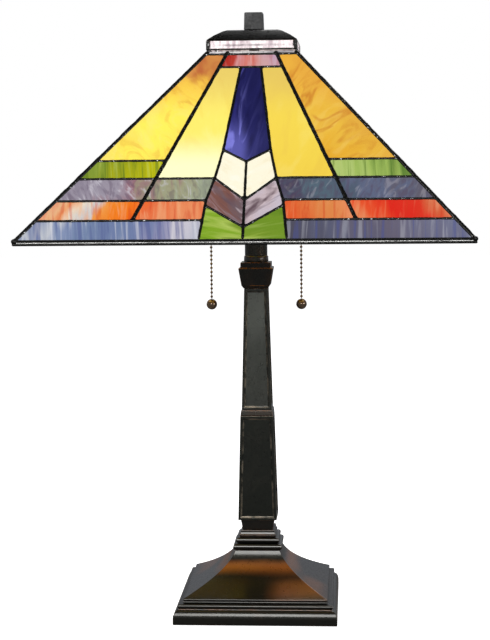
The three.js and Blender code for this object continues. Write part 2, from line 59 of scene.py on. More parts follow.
def makeCamera(s):
    heading, down = math.radians(s["heading"]), math.radians(s["down"])
    forward = Vector(
        (-math.sin(heading) * math.cos(down), math.cos(heading) * math.cos(down), -math.sin(down))
    )
    turn = forward.to_track_quat("-Z", "Y").to_matrix().to_4x4()
    data = bpy.data.cameras.new("camera")
    data.lens, data.sensor_width = s["lens"], s["sensor"]
    camera = bpy.data.objects.new("camera", data)
    bpy.context.scene.collection.objects.link(camera)
    roll = Matrix.Rotation(math.radians(s["roll"]), 4, "Z")
    camera.matrix_world = Matrix.Translation(s["place"]) @ turn @ roll
    bpy.context.scene.camera = camera


makeCamera(cameraSettings)
bpy.context.scene.view_settings.view_transform = "Standard"
print("camera placed")


# node helpers


def srgb(*levels):
    # a colour given from 0 to 255
    values = [level / 255 for level in levels]
    return tuple(c / 12.92 if c <= 0.04045 else ((c + 0.055) / 1.055) ** 2.4 for c in values) + (1,)


def addNode(tree, kind, settings=None, **inputs):
    node = tree.nodes.new("ShaderNode" + kind)
    for key, value in (settings or {}).items():
        setattr(node, key, value)
    for key, value in inputs.items():
        connect(tree, value, node.inputs[key.replace("_", " ")])
    return node


def connect(tree, value, socket):
    if isinstance(value, bpy.types.NodeSocket):
        tree.links.new(value, socket)
    else:
        socket.default_value = value


def addMath(tree, operation, first, second=0.0, clamp=False):
    node = tree.nodes.new("ShaderNodeMath")
    node.operation, node.use_clamp = operation, clamp
    connect(tree, first, node.inputs[0])
    connect(tree, second, node.inputs[1])
    return node.outputs[0]


def addProduct(tree, first, *factors):
    for factor in factors:
        first = addMath(tree, "MULTIPLY", first, factor)
    return first


def addMix(tree, factor, first, second):
    node = tree.nodes.new("ShaderNodeMix")
    node.data_type = "RGBA"
    connect(tree, factor, node.inputs[0])
    connect(tree, first, node.inputs[6])
    connect(tree, second, node.inputs[7])
    return node.outputs[2]


def addRange(tree, value, low, high, start=0.0, end=1.0):
    node = addNode(tree, "MapRange", {"interpolation_type": "SMOOTHSTEP"}, Value=value)
    node.inputs["From Min"].default_value = low
    node.inputs["From Max"].default_value = high
    node.inputs["To Min"].default_value = start
    node.inputs["To Max"].default_value = end
    return node.outputs[0]


def addRamp(tree, value, stops):
    node = addNode(tree, "ValToRGB", Fac=value)
    elements = node.color_ramp.elements
    while len(elements) > 1:
        elements.remove(elements[-1])
    elements[0].position, elements[0].color = stops[0]
    for position, colour in stops[1:]:
        elements.new(position).color = colour
    return node.outputs[0]


def addNoise(tree, vector, scale, detail=3.0, roughness=0.55, distortion=0.0):
    node = addNode(tree, "TexNoise", Scale=scale, Detail=detail, Roughness=roughness, Distortion=distortion)
    connect(tree, vector, node.inputs["Vector"])
    return node.outputs[0]


def addStretch(tree, vector, stretch):
    node = addNode(tree, "VectorMath", {"operation": "MULTIPLY"})
    tree.links.new(vector, node.inputs[0])
    node.inputs[1].default_value = stretch
    return node.outputs[0]


def addBump(tree, height, strength, distance):
    return addNode(tree, "Bump", Height=height, Strength=strength, Distance=distance).outputs[0]


def addScaled(tree, colour, factor):
    node = addNode(tree, "VectorMath", {"operation": "SCALE"}, Scale=factor)
    connect(tree, colour, node.inputs[0])
    return node.outputs[0]


def objectPlace(tree):
    return addNode(tree, "TexCoord").outputs["Object"]


def heightIn(tree, place):
    return addNode(tree, "SeparateXYZ", Vector=place).outputs[2]


def newGroup(name, inputs, outputs):
    # a tuple makes a colour socket and a number a plain one; an output called Color is a colour too
    group = bpy.data.node_groups.new(name, "ShaderNodeTree")
    for socketName, value in inputs.items():
        kind = "NodeSocketColor" if isinstance(value, tuple) else "NodeSocketFloat"
        socket = group.interface.new_socket(name=socketName, in_out="INPUT", socket_type=kind)
        socket.default_value = value
    for socketName in outputs:
        kind = "NodeSocketColor" if socketName == "Color" else "NodeSocketFloat"
        group.interface.new_socket(name=socketName, in_out="OUTPUT", socket_type=kind)
    start = group.nodes.new("NodeGroupInput")
    end = group.nodes.new("NodeGroupOutput")
    return group, start.outputs, end.inputs


def addGroup(tree, group, **inputs):
    node = tree.nodes.new("ShaderNodeGroup")
    node.node_tree = group
    for key, value in inputs.items():
        connect(tree, value, node.inputs[key.replace("_", " ")])
    return node.outputs


def newMaterial(name, **constants):
    material = bpy.data.materials.new(name)
    material.use_nodes = True
    tree = material.node_tree
    surface = tree.nodes["Principled BSDF"]
    for key, value in constants.items():
        surface.inputs[key.replace("_", " ")].default_value = value
    return material, tree, surface.inputs


# effects that several materials share


def makeGlassFlow():
    # streaks and thin wisps drawn along the sheet, clouds, veins, and the ripple of rolled glass
    group, start, end = newGroup(
        "glassFlow",
        {"Size": 30.0, "Draw": 0.2, "Wander": 1.0},
        ("Warp", "Wisp", "Shade", "Cloud", "Vein", "Height"),
    )
    grain = addNode(group, "UVMap", {"uv_map": "grain"}).outputs[0]
    parts = addNode(group, "SeparateXYZ", Vector=grain).outputs
    alongGrain = addProduct(group, parts[0], start["Draw"])
    drawn = addNode(group, "CombineXYZ", X=alongGrain, Y=parts[1]).outputs[0]

    def swirl(vector, share, detail):
        size = addProduct(group, start["Size"], share)
        return addNoise(group, vector, size, detail, 0.5, start["Wander"])

    streak = swirl(drawn, 1.0, 3.0)
    connect(group, addMath(group, "SUBTRACT", streak, 0.5), end["Warp"])
    wisp = swirl(drawn, 1.9, 4.0)
    connect(group, addRange(group, wisp, 0.52, 0.68), end["Wisp"])
    connect(group, addRange(group, wisp, 0.48, 0.34), end["Shade"])
    cloud = swirl(grain, 0.6, 4.0)
    connect(group, addRange(group, cloud, 0.4, 0.64), end["Cloud"])
    offMiddle = addMath(group, "ABSOLUTE", addMath(group, "SUBTRACT", streak, 0.56))
    connect(group, addRange(group, offMiddle, 0.075, 0.0), end["Vein"])
    connect(group, addNoise(group, grain, 55.0, 2.0, 0.5, 0.6), end["Height"])
    return group


def makeLampGlow(bulbs):
    # how strongly the bulbs light a place on the shade
    group, start, end = newGroup("lampGlow", {"Reach": 0.22}, ("Glow",))
    place = objectPlace(group)
    total = 0.0
    for centre, share in bulbs:
        away = addNode(group, "VectorMath", {"operation": "DISTANCE"})
        connect(group, place, away.inputs[0])
        away.inputs[1].default_value = centre
        near = addMath(group, "DIVIDE", away.outputs["Value"], start["Reach"])
        spread = addMath(group, "POWER", addMath(group, "MAXIMUM", near, 0.001), 2.2)
        fall = addMath(group, "EXPONENT", addProduct(group, spread, -1.0))
        total = addMath(group, "ADD", total, addProduct(group, fall, share))
    connect(group, addMath(group, "MINIMUM", total, 1.0), end["Glow"])
    return group


def makeRubbed():
    # a dark finish rubbed back to brown in patches, and along its edges, where the brown is partly wear and
    # partly a painted highlight
    group, start, end = newGroup(
        "rubbed",
        {
            "Dark": (0.02, 0.02, 0.02, 1), "Brown": (0.2, 0.08, 0.02, 1),
            "Patches": 0.3, "Edges": 0.8, "Gloss": 0.0,
        },
        ("Color", "Roughness", "Height"),
    )
    place = objectPlace(group)
    edge = addNode(group, "Attribute", {"attribute_name": "edge"}).outputs["Fac"]
    patchy = addRange(group, addNoise(group, place, 26.0, 3.0, 0.6, 0.8), 0.46, 0.74)
    edgeBreakup = addRange(group, addNoise(group, place, 95.0, 4.0, 0.6), 0.36, 0.62)
    edgeWearAndHighlight = addProduct(group, edge, edgeBreakup, start["Edges"])
    rubbedPatch = addProduct(group, patchy, start["Patches"])
    share = addMath(group, "ADD", edgeWearAndHighlight, rubbedPatch, clamp=True)
    connect(group, addMix(group, share, start["Dark"], start["Brown"]), end["Color"])
    grain = addNoise(group, place, 420.0, 3.0, 0.6)
    dull = addMath(group, "SUBTRACT", 1.0, start["Gloss"])
    satin = addRange(group, grain, 0.3, 0.75, 0.27, 0.4)
    connect(group, addProduct(group, satin, dull), end["Roughness"])
    connect(group, grain, end["Height"])
    return group


def makeSolderSkin():
    # black patina over tin, with bright spots where it has been touched, which also serve as painted glints
    # of light
    group, start, end = newGroup(
        "solderSkin",
        {"Bright": 0.5, "Scale": 160.0}, ("Color", "Roughness", "Height"),
    )
    place = objectPlace(group)
    spots = addNoise(group, place, start["Scale"], 4.0, 0.65)
    tinAndGlints = addProduct(group, addRange(group, spots, 0.59, 0.68), start["Bright"])
    mottled = addMix(group, addNoise(group, place, 70.0), (0.006, 0.006, 0.006, 1), (0.022, 0.022, 0.02, 1))
    connect(group, addMix(group, tinAndGlints, mottled, (0.72, 0.73, 0.72, 1)), end["Color"])
    connect(group, addRange(group, spots, 0.35, 0.7, 0.5, 0.2), end["Roughness"])
    connect(group, addNoise(group, place, 260.0, 3.0), end["Height"])
    return group


bulbLight = {
    "left": 1.0,  # how bright each bulb is
    "right": 0.42,
    "aside": 0.02,  # how far the bright spots lie to the front and the back
    "reach": 0.15,
}
socketLevel = (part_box("bulb_glass_left")[0].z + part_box("bulb_glass_left")[1].z) / 2
bulbOut = (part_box("bulb_glass_right")[0].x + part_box("bulb_glass_right")[1].x) / 2
glassFlow = makeGlassFlow()
lampGlow = makeLampGlow([
    ((-bulbOut, -bulbLight["aside"], socketLevel), bulbLight["left"]),
    ((bulbOut, bulbLight["aside"], socketLevel), bulbLight["right"]),
])
rubbed = makeRubbed()
solderSkin = makeSolderSkin()

# glass: "colours" are (place, red, green, blue) across a face from left to right; "pale" and "dark" are the
# wisps and the streaks with their strength; "warp" is how far the streaks carry the colours; "flow" is the
# size, the draw and the wander of the streaks; "light" is the brightness far from the bulbs and beside them

glassSettings = {
    "clear": {
        "colours": [(0.0, 214, 208, 212), (0.45, 236, 232, 230), (0.8, 172, 168, 172)],
        "pale": ((250, 248, 248), 0.4), "dark": ((120, 116, 120), 0.5),
        "warp": 0.5, "flow": (200, 0.15, 0.4), "light": (0.5, 0.6),
    },
    "pink": {
        "colours": [
            (0.24, 176, 40, 32), (0.31, 188, 60, 48), (0.36, 212, 146, 148),
            (0.47, 216, 124, 112), (0.58, 210, 162, 160), (0.76, 196, 160, 182),
        ],
        "pale": ((232, 198, 192), 0.5), "dark": ((178, 84, 76), 0.35),
        "warp": 0.3, "flow": (120, 0.12, 0.6), "light": (0.58, 0.66),
    },
    "cobalt": {
        "colours": [(0.4, 46, 44, 118), (0.47, 30, 30, 84), (0.6, 24, 24, 72)],
        "pale": ((122, 122, 210), 0.95), "dark": ((12, 11, 42), 0.6),
        # "corner" is the paler colour painted low on one side, where a bulb shines close behind
        "warp": 0.5, "flow": (42, 0.2, 1.4), "light": (0.6, 0.9), "corner": (92, 92, 172),
    },
    "amber": {
        "colours": [
            (0.0, 246, 206, 84), (0.1, 254, 226, 80), (0.3, 250, 208, 82),
            (0.7, 226, 160, 34), (0.86, 230, 176, 58), (1.0, 222, 160, 60),
        ],
        "pale": ((250, 222, 132), 0.5), "dark": ((206, 128, 38), 0.5),
        "warp": 0.5, "flow": (24, 0.45, 1.7), "light": (0.6, 0.8),
        "lit": (255, 246, 104), "deep": (232, 168, 62),
        "vein": (196, 112, 36), "smoke": ((224, 160, 84), (180, 92, 56)),
    },
    "cream": {
        "colours": [
            (0.24, 246, 220, 104), (0.42, 250, 228, 106), (0.55, 238, 200, 66),
            (0.76, 242, 208, 72),
        ],
        "pale": ((250, 234, 146), 0.5), "dark": ((232, 190, 70), 0.4),
        "warp": 0.3, "flow": (24, 0.35, 0.9), "light": (0.6, 0.78),
        # "foot" is the near white painted at the lower end of one side, where a bulb is close behind
        "lit": (255, 250, 116), "deep": (222, 190, 100), "foot": (255, 255, 206),
    },
    "white": {
        "colours": [(0.0, 254, 249, 224), (1.0, 254, 246, 220)],
        "pale": ((255, 255, 246), 0.4), "dark": ((240, 226, 184), 0.35),
        "warp": 0.1, "flow": (60, 0.4, 0.5), "light": (0.6, 0.68),
    },
    "mauve": {
        "colours": [
            (0.38, 124, 84, 76), (0.46, 110, 92, 98), (0.52, 200, 182, 188),
            (0.62, 200, 190, 202),
        ],
        "pale": ((190, 172, 186), 0.55), "dark": ((88, 66, 80), 0.4),
        "warp": 0.6, "flow": (44, 0.26, 1.4), "light": (0.6, 0.68),
    },
    "leaf": {
        "colours": [
            (0.4, 128, 166, 40), (0.46, 166, 190, 84), (0.51, 120, 150, 44),
            (0.6, 112, 146, 40),
        ],
        "pale": ((186, 206, 112), 0.5), "dark": ((86, 122, 30), 0.5),
        "warp": 0.5, "flow": (64, 0.14, 0.9), "light": (0.6, 0.68),
    },
    "strip": {
        "colours": [
            (0.0, 130, 152, 52), (0.12, 156, 162, 24), (0.24, 190, 188, 10),
            (0.77, 178, 200, 116), (0.88, 158, 186, 92), (1.0, 98, 132, 56),
        ],
        "pale": ((186, 200, 96), 0.4), "dark": ((84, 116, 34), 0.6),
        "warp": 0.4, "flow": (130, 0.06, 0.5), "light": (0.58, 0.68),
    },
    "grey": {
        "colours": [
            (0.0, 138, 130, 146), (0.1, 154, 146, 160), (0.2, 148, 108, 118),
            (0.28, 156, 154, 124), (0.38, 158, 166, 140), (0.6, 74, 68, 90),
            (0.69, 84, 102, 116), (0.78, 80, 92, 110), (0.88, 94, 102, 128),
            (1.0, 96, 92, 106),
        ],
        "pale": ((204, 200, 210), 0.6), "dark": ((84, 66, 90), 0.4),
        "warp": 0.35, "flow": (44, 0.36, 2.2), "light": (0.62, 0.7),
    },
    "red": {
        "colours": [
            (0.0, 230, 140, 108), (0.03, 232, 180, 134), (0.055, 232, 150, 96),
            (0.085, 232, 218, 196), (0.115, 204, 200, 200), (0.14, 238, 152, 70),
            (0.17, 240, 130, 34), (0.235, 242, 104, 20), (0.265, 230, 108, 62),
            (0.36, 234, 144, 96), (0.62, 226, 92, 44), (0.71, 222, 136, 74),
            (0.765, 232, 140, 92), (0.8, 232, 84, 44), (0.87, 222, 40, 28),
            (0.94, 222, 54, 36), (0.97, 214, 96, 60), (1.0, 226, 132, 96),
        ],
        "pale": ((240, 178, 130), 0.5), "dark": ((206, 60, 30), 0.45),
        "warp": 0.1, "flow": (84, 0.12, 0.9), "light": (0.6, 0.68),
    },
    "lavender": {
        "colours": [
            (0.0, 150, 160, 184), (0.045, 190, 194, 202), (0.07, 132, 146, 180),
            (0.146, 114, 132, 166), (0.26, 112, 126, 166), (0.31, 146, 146, 178),
            (0.36, 204, 200, 210), (0.4, 180, 182, 198), (0.6, 78, 76, 90),
            (0.71, 90, 92, 114), (0.82, 102, 96, 114), (1.0, 114, 117, 142),
        ],
        "pale": ((214, 216, 224), 0.7), "dark": ((76, 84, 142), 0.5),
        "warp": 0.22, "flow": (100, 0.05, 0.6), "light": (0.6, 0.66),
    },
}


def addLitCorner(tree, across, pale, colour, corner):
    # painted light: paler streaks low down on one side, where a bulb shines close behind
    side = addRange(tree, across[0], 0.52, 0.475, 0.12, 1.0)
    pale = addProduct(tree, pale, side, addRange(tree, across[1], 0.8, 0.48, 0.25, 1.0))
    low = addProduct(tree, addRange(tree, across[1], 0.66, 0.47, 0.0, 0.85), side)
    return pale, addMix(tree, low, colour, srgb(*corner))


def addWash(tree, across, glow, colour, s):
    # washed out where a bulb is close behind, deeper towards the crown
    wash = addProduct(tree, addMath(tree, "POWER", glow, 1.5), 0.75)
    colour = addMix(tree, wash, colour, srgb(*s["lit"]))
    return addMix(tree, addRange(tree, across[1], 0.6, 0.88, 0.0, 0.7), colour, srgb(*s["deep"]))


def addLitFoot(tree, across, colour, foot):
    # painted light: nearly white at the lower end on one side, where a bulb is close behind
    low = addRange(tree, across[1], 0.56, 0.36, 0.0, 0.9)
    share = addProduct(tree, low, addRange(tree, across[0], 0.52, 0.48))
    return addMix(tree, share, colour, srgb(*foot))


def addSmoke(tree, across, flow, colour, s):
    # brown veins, and a smoked end near the crown on one side
    right = addRange(tree, across[0], 0.2, 0.75, 0.35, 0.7)
    veins = addProduct(tree, flow["Vein"], flow["Cloud"], right)
    colour = addMix(tree, veins, colour, srgb(*s["vein"]))
    edge = addMath(tree, "ADD", across[1], addProduct(tree, flow["Warp"], 0.3))
    smoke = addProduct(tree, addRange(tree, edge, 0.8, 0.9), addRange(tree, across[0], 0.5, 0.4), 0.9)
    return addMix(tree, smoke, colour, addMix(tree, flow["Cloud"], *[srgb(*c) for c in s["smoke"]]))


def makeGlass(name, s):
    material, tree, surface = newMaterial(name + "Glass", Roughness=0.12, IOR=1.5, Emission_Strength=1.0)
    size, draw, wander = s["flow"]
    flow = addGroup(tree, glassFlow, Size=size, Draw=draw, Wander=wander)
    face = addNode(tree, "UVMap", {"uv_map": "face"}).outputs[0]
    across = addNode(tree, "SeparateXYZ", Vector=face).outputs
    glow = addGroup(tree, lampGlow, Reach=bulbLight["reach"])["Glow"]
    shifted = addMath(tree, "ADD", across[0], addProduct(tree, flow["Warp"], s["warp"]))
    colour = addRamp(tree, shifted, [(place, srgb(*levels)) for place, *levels in s["colours"]])
    darkLevels, darkShare = s["dark"]
    colour = addMix(tree, addProduct(tree, flow["Shade"], darkShare), colour, srgb(*darkLevels))
    paleLevels, paleShare = s["pale"]
    strength = addRange(tree, across[0], 0.6, 0.45, paleShare / 3, paleShare)
    pale = addProduct(tree, flow["Wisp"], strength)
    if "corner" in s:
        pale, colour = addLitCorner(tree, across, pale, colour, s["corner"])
    colour = addMix(tree, pale, colour, srgb(*paleLevels))
    if "lit" in s:
        colour = addWash(tree, across, glow, colour, s)
    if "foot" in s:
        colour = addLitFoot(tree, across, colour, s["foot"])
    if "vein" in s:
        colour = addSmoke(tree, across, flow, colour, s)
    low, high = s["light"]
    level = addMath(tree, "ADD", addProduct(tree, glow, high - low), low)
    connect(tree, addScaled(tree, colour, 0.35), surface["Base Color"])
    connect(tree, addScaled(tree, colour, level), surface["Emission Color"])
    connect(tree, addBump(tree, flow["Height"], 0.3, 0.0006), surface["Normal"])
    return material


glassMaterials = {name: makeGlass(name, s) for name, s in glassSettings.items()}

# metals and the rest

metalSettings = {
    "bronze": {
        "dark": (0.014, 0.0135, 0.01, 1), "brown": (0.24, 0.085, 0.02, 1),
        "patches": 0.05, "edges": 0.3, "coat": 0.8,
    },
    # the capital's brown edges are edge wear and a painted highlight along its step and shoulder
    "capitalBronze": {
        "dark": (0.012, 0.011, 0.008, 1), "brown": (0.4, 0.15, 0.03, 1),
        "patches": 0.08, "edges": 0.95, "coat": 0.6,
    },
    "neckBronze": {
        "dark": (0.035, 0.036, 0.028, 1), "brown": (0.2, 0.09, 0.03, 1),
        "patches": 0.5, "edges": 0.3, "coat": 0.9,
    },
    # lit and shaded copies of one bronze, lighter above under the shade; the pale "brown" is a painted
    # highlight on the bevels, "panel" painted light in the sunk panels
    "upperBronze": {
        "dark": (0.024, 0.025, 0.02, 1), "brown": (0.34, 0.28, 0.2, 1), "panel": (0.13, 0.138, 0.12, 1),
        "patches": 0.03, "edges": 0.6, "coat": 0.7,
    },
    "shadedLowerBronze": {
        "dark": (0.013, 0.015, 0.011, 1), "brown": (0.4, 0.33, 0.24, 1), "panel": (0.015, 0.018, 0.012, 1),
        "patches": 0.03, "edges": 0.6, "coat": 0.6,
    },
    "capBlack": {
        "dark": (0.004, 0.004, 0.003, 1), "brown": (0.02, 0.014, 0.01, 1),
        "patches": 0.1, "edges": 0.25, "coat": 0.0, "specular": 0.15,
    },
    "pullBrass": {
        "dark": (0.2, 0.13, 0.075, 1), "brown": (0.8, 0.55, 0.28, 1),
        "patches": 0.6, "edges": 0.0, "coat": 1.0, "gloss": 0.75,
    },
    "socketBrass": {
        "dark": (0.42, 0.26, 0.09, 1), "brown": (0.62, 0.42, 0.16, 1), "patches": 0.8, "edges": 0.0,
    },
    "finialGrey": {
        "dark": (0.016, 0.016, 0.016, 1), "brown": (0.032, 0.032, 0.032, 1),
        "patches": 0.5, "edges": 0.6, "coat": 0.0, "specular": 0.3,
    },
    "steel": {"dark": (0.3, 0.31, 0.32, 1), "brown": (0.5, 0.5, 0.5, 1), "patches": 0.7, "edges": 0.4},
    "iron": {"dark": (0.05, 0.048, 0.045, 1), "brown": (0.14, 0.07, 0.04, 1), "patches": 0.4, "edges": 0.3},
}


def wearSkin(tree, surface, skin, colour, strength, distance):
    connect(tree, colour, surface["Base Color"])
    connect(tree, skin["Roughness"], surface["Roughness"])
    connect(tree, addBump(tree, skin["Height"], strength, distance), surface["Normal"])


def addLitPanel(tree, colour, litPanelColour):
    # painted light: the sunk panels of a column are cloudy and grow paler towards the top, lit by the shade
    # above
    sunk = addNode(tree, "Attribute", {"attribute_name": "panel"}).outputs["Fac"]
    place = objectPlace(tree)
    clouds = addNoise(tree, addStretch(tree, place, (1, 1, 0.4)), 40.0, 2.0)
    cloudy = addRange(tree, clouds, 0.3, 0.7, 0.6, 1.0)
    low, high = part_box("upper_column")
    litFromAbove = addRange(tree, heightIn(tree, place), low.z, high.z, 0.35, 1.15)
    share = addProduct(tree, sunk, litFromAbove, cloudy)
    return addMix(tree, addMath(tree, "MINIMUM", share, 1.0), colour, litPanelColour)


def makeMetal(name, s):
    material, tree, surface = newMaterial(
        name, Metallic=0.85, Coat_Weight=s.get("coat", 0.2), Coat_Roughness=0.13,
        Specular_IOR_Level=s.get("specular", 0.5),
    )
    skin = addGroup(
        tree, rubbed, Dark=s["dark"], Brown=s["brown"], Patches=s["patches"], Edges=s["edges"],
        Gloss=s.get("gloss", 0.0),
    )
    colour = skin["Color"]
    if "panel" in s:
        colour = addLitPanel(tree, colour, s["panel"])
    wearSkin(tree, surface, skin, colour, 0.03, 0.0001)
    return material


flareReflection = {
    "colour": (0.4, 0.13, 0.025, 1),
    "band": (0.0375, 0.047, 0.0475, 0.055),  # heights where it starts, is full, is still full and ends
    "bandShare": 0.8,
    "patch": (0.023, 0.031, 0.033, 0.041),
    "patchShare": 0.5,
    "waver": 0.01,
}


def addBetween(tree, value, limits):
    start, full, still, end = limits
    return addProduct(tree, addRange(tree, value, end, still), addRange(tree, value, start, full))


def makeBaseBronze():
    # painted reflection: a brown band below the flare's neck and a brown patch low on one side of each face,
    # standing for warm light mirrored in the bronze
    s, reflection = metalSettings["bronze"], flareReflection
    material, tree, surface = newMaterial("baseBronze", Metallic=0.85, Coat_Weight=0.62, Coat_Roughness=0.17)
    skin = addGroup(tree, rubbed, Dark=s["dark"], Brown=s["brown"], Patches=0.03, Edges=0.25)
    place = objectPlace(tree)
    parts = addNode(tree, "SeparateXYZ", Vector=place).outputs
    soft = addNoise(tree, addStretch(tree, place, (1, 1, 2)), 16.0, 1.0, 0.4, 0.2)
    waver = addProduct(tree, addMath(tree, "SUBTRACT", soft, 0.5), reflection["waver"])
    height = addMath(tree, "ADD", parts[2], waver)
    band = addProduct(tree, addBetween(tree, height, reflection["band"]), reflection["bandShare"])
    side = addRange(tree, addProduct(tree, parts[0], parts[1]), -0.0003, -0.0016)
    patch = addProduct(tree, side, addBetween(tree, height, reflection["patch"]))
    share = addMath(tree, "ADD", band, addProduct(tree, patch, reflection["patchShare"]), clamp=True)
    wearSkin(tree, surface, skin, addMix(tree, share, skin["Color"], reflection["colour"]), 0.03, 0.0001)
    return material


def makeSolder():
    material, tree, surface = newMaterial("blackSolder", Metallic=0.85)
    skin = addGroup(tree, solderSkin, Bright=0.5, Scale=400.0)
    wearSkin(tree, surface, skin, skin["Color"], 0.3, 0.0003)
    return material


def makeRimMetal():
    # the same black with a painted highlight: a bright line along the shoulder of its lower bead, where light
    # would catch it
    material, tree, surface = newMaterial("rimMetal", Metallic=0.85)
    skin = addGroup(tree, solderSkin, Bright=0.1, Scale=300.0)
    place = objectPlace(tree)
    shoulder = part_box("rim_front")[0].z + 0.0027
    away = addMath(tree, "ABSOLUTE", addMath(tree, "SUBTRACT", heightIn(tree, place), shoulder))
    line = addRange(tree, away, 0.00065, 0.00015)
    patchy = addRange(tree, addNoise(tree, place, 34.0, 4.0, 0.6), 0.3, 0.56, 0.15, 0.8)
    paintedHighlight = addProduct(tree, line, patchy)
    colour = addMix(tree, paintedHighlight, skin["Color"], (0.8, 0.8, 0.78, 1))
    wearSkin(tree, surface, skin, colour, 0.2, 0.0003)
    satin = addMath(tree, "MAXIMUM", skin["Roughness"], addProduct(tree, paintedHighlight, 0.6))
    connect(tree, satin, surface["Roughness"])
    return material


def makeRibbedCrystal():
    # painted light: the crystal glows in its own pale colour
    material, tree, surface = newMaterial(
        "ribbedCrystal", Roughness=0.12, IOR=1.5, Transmission_Weight=0.35, Emission_Strength=0.35
    )
    place = objectPlace(tree)
    cloudy = addNoise(tree, addStretch(tree, place, (1, 1, 0.2)), 260.0, 3.0)
    colour = addMix(tree, addRange(tree, cloudy, 0.35, 0.7), srgb(248, 240, 240), srgb(190, 174, 180))
    # painted shadow: a broken dark streak across the middle, where the cap seat and the rod shade the crystal
    # from inside
    low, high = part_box("crystal_front")
    shadowLevel = (low.z + high.z) / 2 - 0.0006
    away = addMath(tree, "ABSOLUTE", addMath(tree, "SUBTRACT", heightIn(tree, place), shadowLevel))
    broken = addRange(tree, addNoise(tree, place, 70.0), 0.3, 0.6)
    streak = addProduct(tree, addRange(tree, away, 0.0016, 0.0002), broken, 0.7)
    colour = addMix(tree, streak, colour, srgb(96, 84, 88))
    connect(tree, colour, surface["Base Color"])
    connect(tree, colour, surface["Emission Color"])
    connect(tree, addBump(tree, cloudy, 0.3, 0.0004), surface["Normal"])
    return material


def makeBulbGlass():
    material, tree, surface = newMaterial("frostedBulb", Roughness=0.3, Emission_Strength=1.6)
    place = objectPlace(tree)
    mottled = addNoise(tree, place, 90.0)
    colour = addMix(tree, addRange(tree, mottled, 0.3, 0.7), (1.0, 0.9, 0.68, 1), (1.0, 0.94, 0.78, 1))
    connect(tree, colour, surface["Base Color"])
    connect(tree, colour, surface["Emission Color"])
    return material


def makePlain(name, dark, light, scale, roughness, bump):
    material, tree, surface = newMaterial(name, Roughness=roughness)
    place = objectPlace(tree)
    grain = addNoise(tree, place, scale, 4.0, 0.65)
    connect(tree, addMix(tree, addRange(tree, grain, 0.3, 0.7), dark, light), surface["Base Color"])
    connect(tree, addBump(tree, grain, bump, 0.0004), surface["Normal"])
    return material


metals = {name: makeMetal(name, s) for name, s in metalSettings.items()}
metals["baseBronze"] = makeBaseBronze()
metals["solder"] = makeSolder()
metals["rim"] = makeRimMetal()
crystal = makeRibbedCrystal()
bulbGlass = makeBulbGlass()
phenolic = makePlain("phenolic", (0.012, 0.01, 0.009, 1), (0.03, 0.026, 0.024, 1), 300.0, 0.45, 0.2)
felt = makePlain("greenFelt", (0.01, 0.03, 0.014, 1), (0.03, 0.07, 0.034, 1), 1400.0, 0.95, 0.8)
print("materials made")


# mesh helpers


def outlineFrom(bm, points):
    verts = [bm.verts.new(point) for point in points]
    return verts, [bm.edges.new(pair) for pair in zip(verts, verts[1:])]


def quarterTurns(centre, size, start, end, steps):
    # points of an arc in (half width, z), from one angle to another in degrees
    angles = [math.radians(start + (end - start) * i / steps) for i in range(steps + 1)]
    return [(centre[0] + size[0] * math.cos(a), centre[1] + size[1] * math.sin(a)) for a in angles]


def spun(points, steps):
    # points of (radius, z) turned round the Z axis; four steps give a square piece, cornered on the diagonals
    bm = bmesh.new()
    angle = -math.pi / 4 if steps == 4 else 0.0
    reach = math.sqrt(2) if steps == 4 else 1.0
    corner = [(r * reach * math.cos(angle), r * reach * math.sin(angle), z) for r, z in points]
    verts, edges = outlineFrom(bm, corner)
    bmesh.ops.spin(
        bm, geom=verts + edges, cent=(0, 0, 0), axis=(0, 0, 1), angle=2 * math.pi, steps=steps,
        use_merge=True, use_duplicate=False,
    )
    bmesh.ops.remove_doubles(bm, verts=bm.verts, dist=1e-6)
    bmesh.ops.recalc_face_normals(bm, faces=bm.faces)
    return bm


def softenEdges(bm, width, sharpness=24, segments=2):
    # rounds the sharp edges, and marks the rounded strips for the worn finish and the highlight painted along
    # them
    layer = bm.faces.layers.float.get("edge") or bm.faces.layers.float.new("edge")
    edges = [e for e in bm.edges if e.is_manifold and e.calc_face_angle() > math.radians(sharpness)]
    done = bmesh.ops.bevel(
        bm, geom=edges, offset=width, offset_type="OFFSET", segments=segments, profile=0.5,
        affect="EDGES", clamp_overlap=True, material=-1,
    )
    for face in done["faces"]:
        face[layer] = 1.0


def placePiece(name, mesh, material, body, slot=None, replaces=(), smooth=True, weighted=True):
    mesh.materials.clear()
    mesh.materials.append(material)
    if smooth:
        mesh.shade_smooth()
    piece = bpy.data.objects.new(name, mesh)
    bpy.context.scene.collection.objects.link(piece)
    if weighted:
        piece.modifiers.new("evenShading", "WEIGHTED_NORMAL").keep_sharp = True
    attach(piece, body)
    if replaces:
        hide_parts(*replaces)
    return piece


def meshOf(name, bm):
    mesh = bpy.data.meshes.new(name)
    bm.to_mesh(mesh)
    bm.free()
    return mesh


def addPiece(name, bm, *rest, **looks):
    return placePiece(name, meshOf(name, bm), *rest, **looks)


def addTurned(node, outline, steps, material, body, slot, edges=None, name=None, place=None, **looks):
    # a turned piece over its node; "edges" says how softenEdges rounds it
    bm = spun(outline, steps)
    if place:
        bm.transform(place)
    if edges:
        softenEdges(bm, *edges)
    addPiece(f"{name or node}_visual", bm, material, body, slot, [node], **looks)


def takeIn(bm, other):
    # joins another bmesh to this one
    part = meshOf("part", other)
    bm.from_mesh(part)
    bpy.data.meshes.remove(part)


def addBar(bm, segments, radius, length, matrix):
    bmesh.ops.create_cone(
        bm, cap_ends=True, segments=segments, radius1=radius, radius2=radius, depth=length, matrix=matrix
    )


def addBlock(bm, middle, size):
    bmesh.ops.create_cube(bm, size=1, matrix=Matrix.Translation(middle) @ Matrix.Diagonal((*size, 1)))


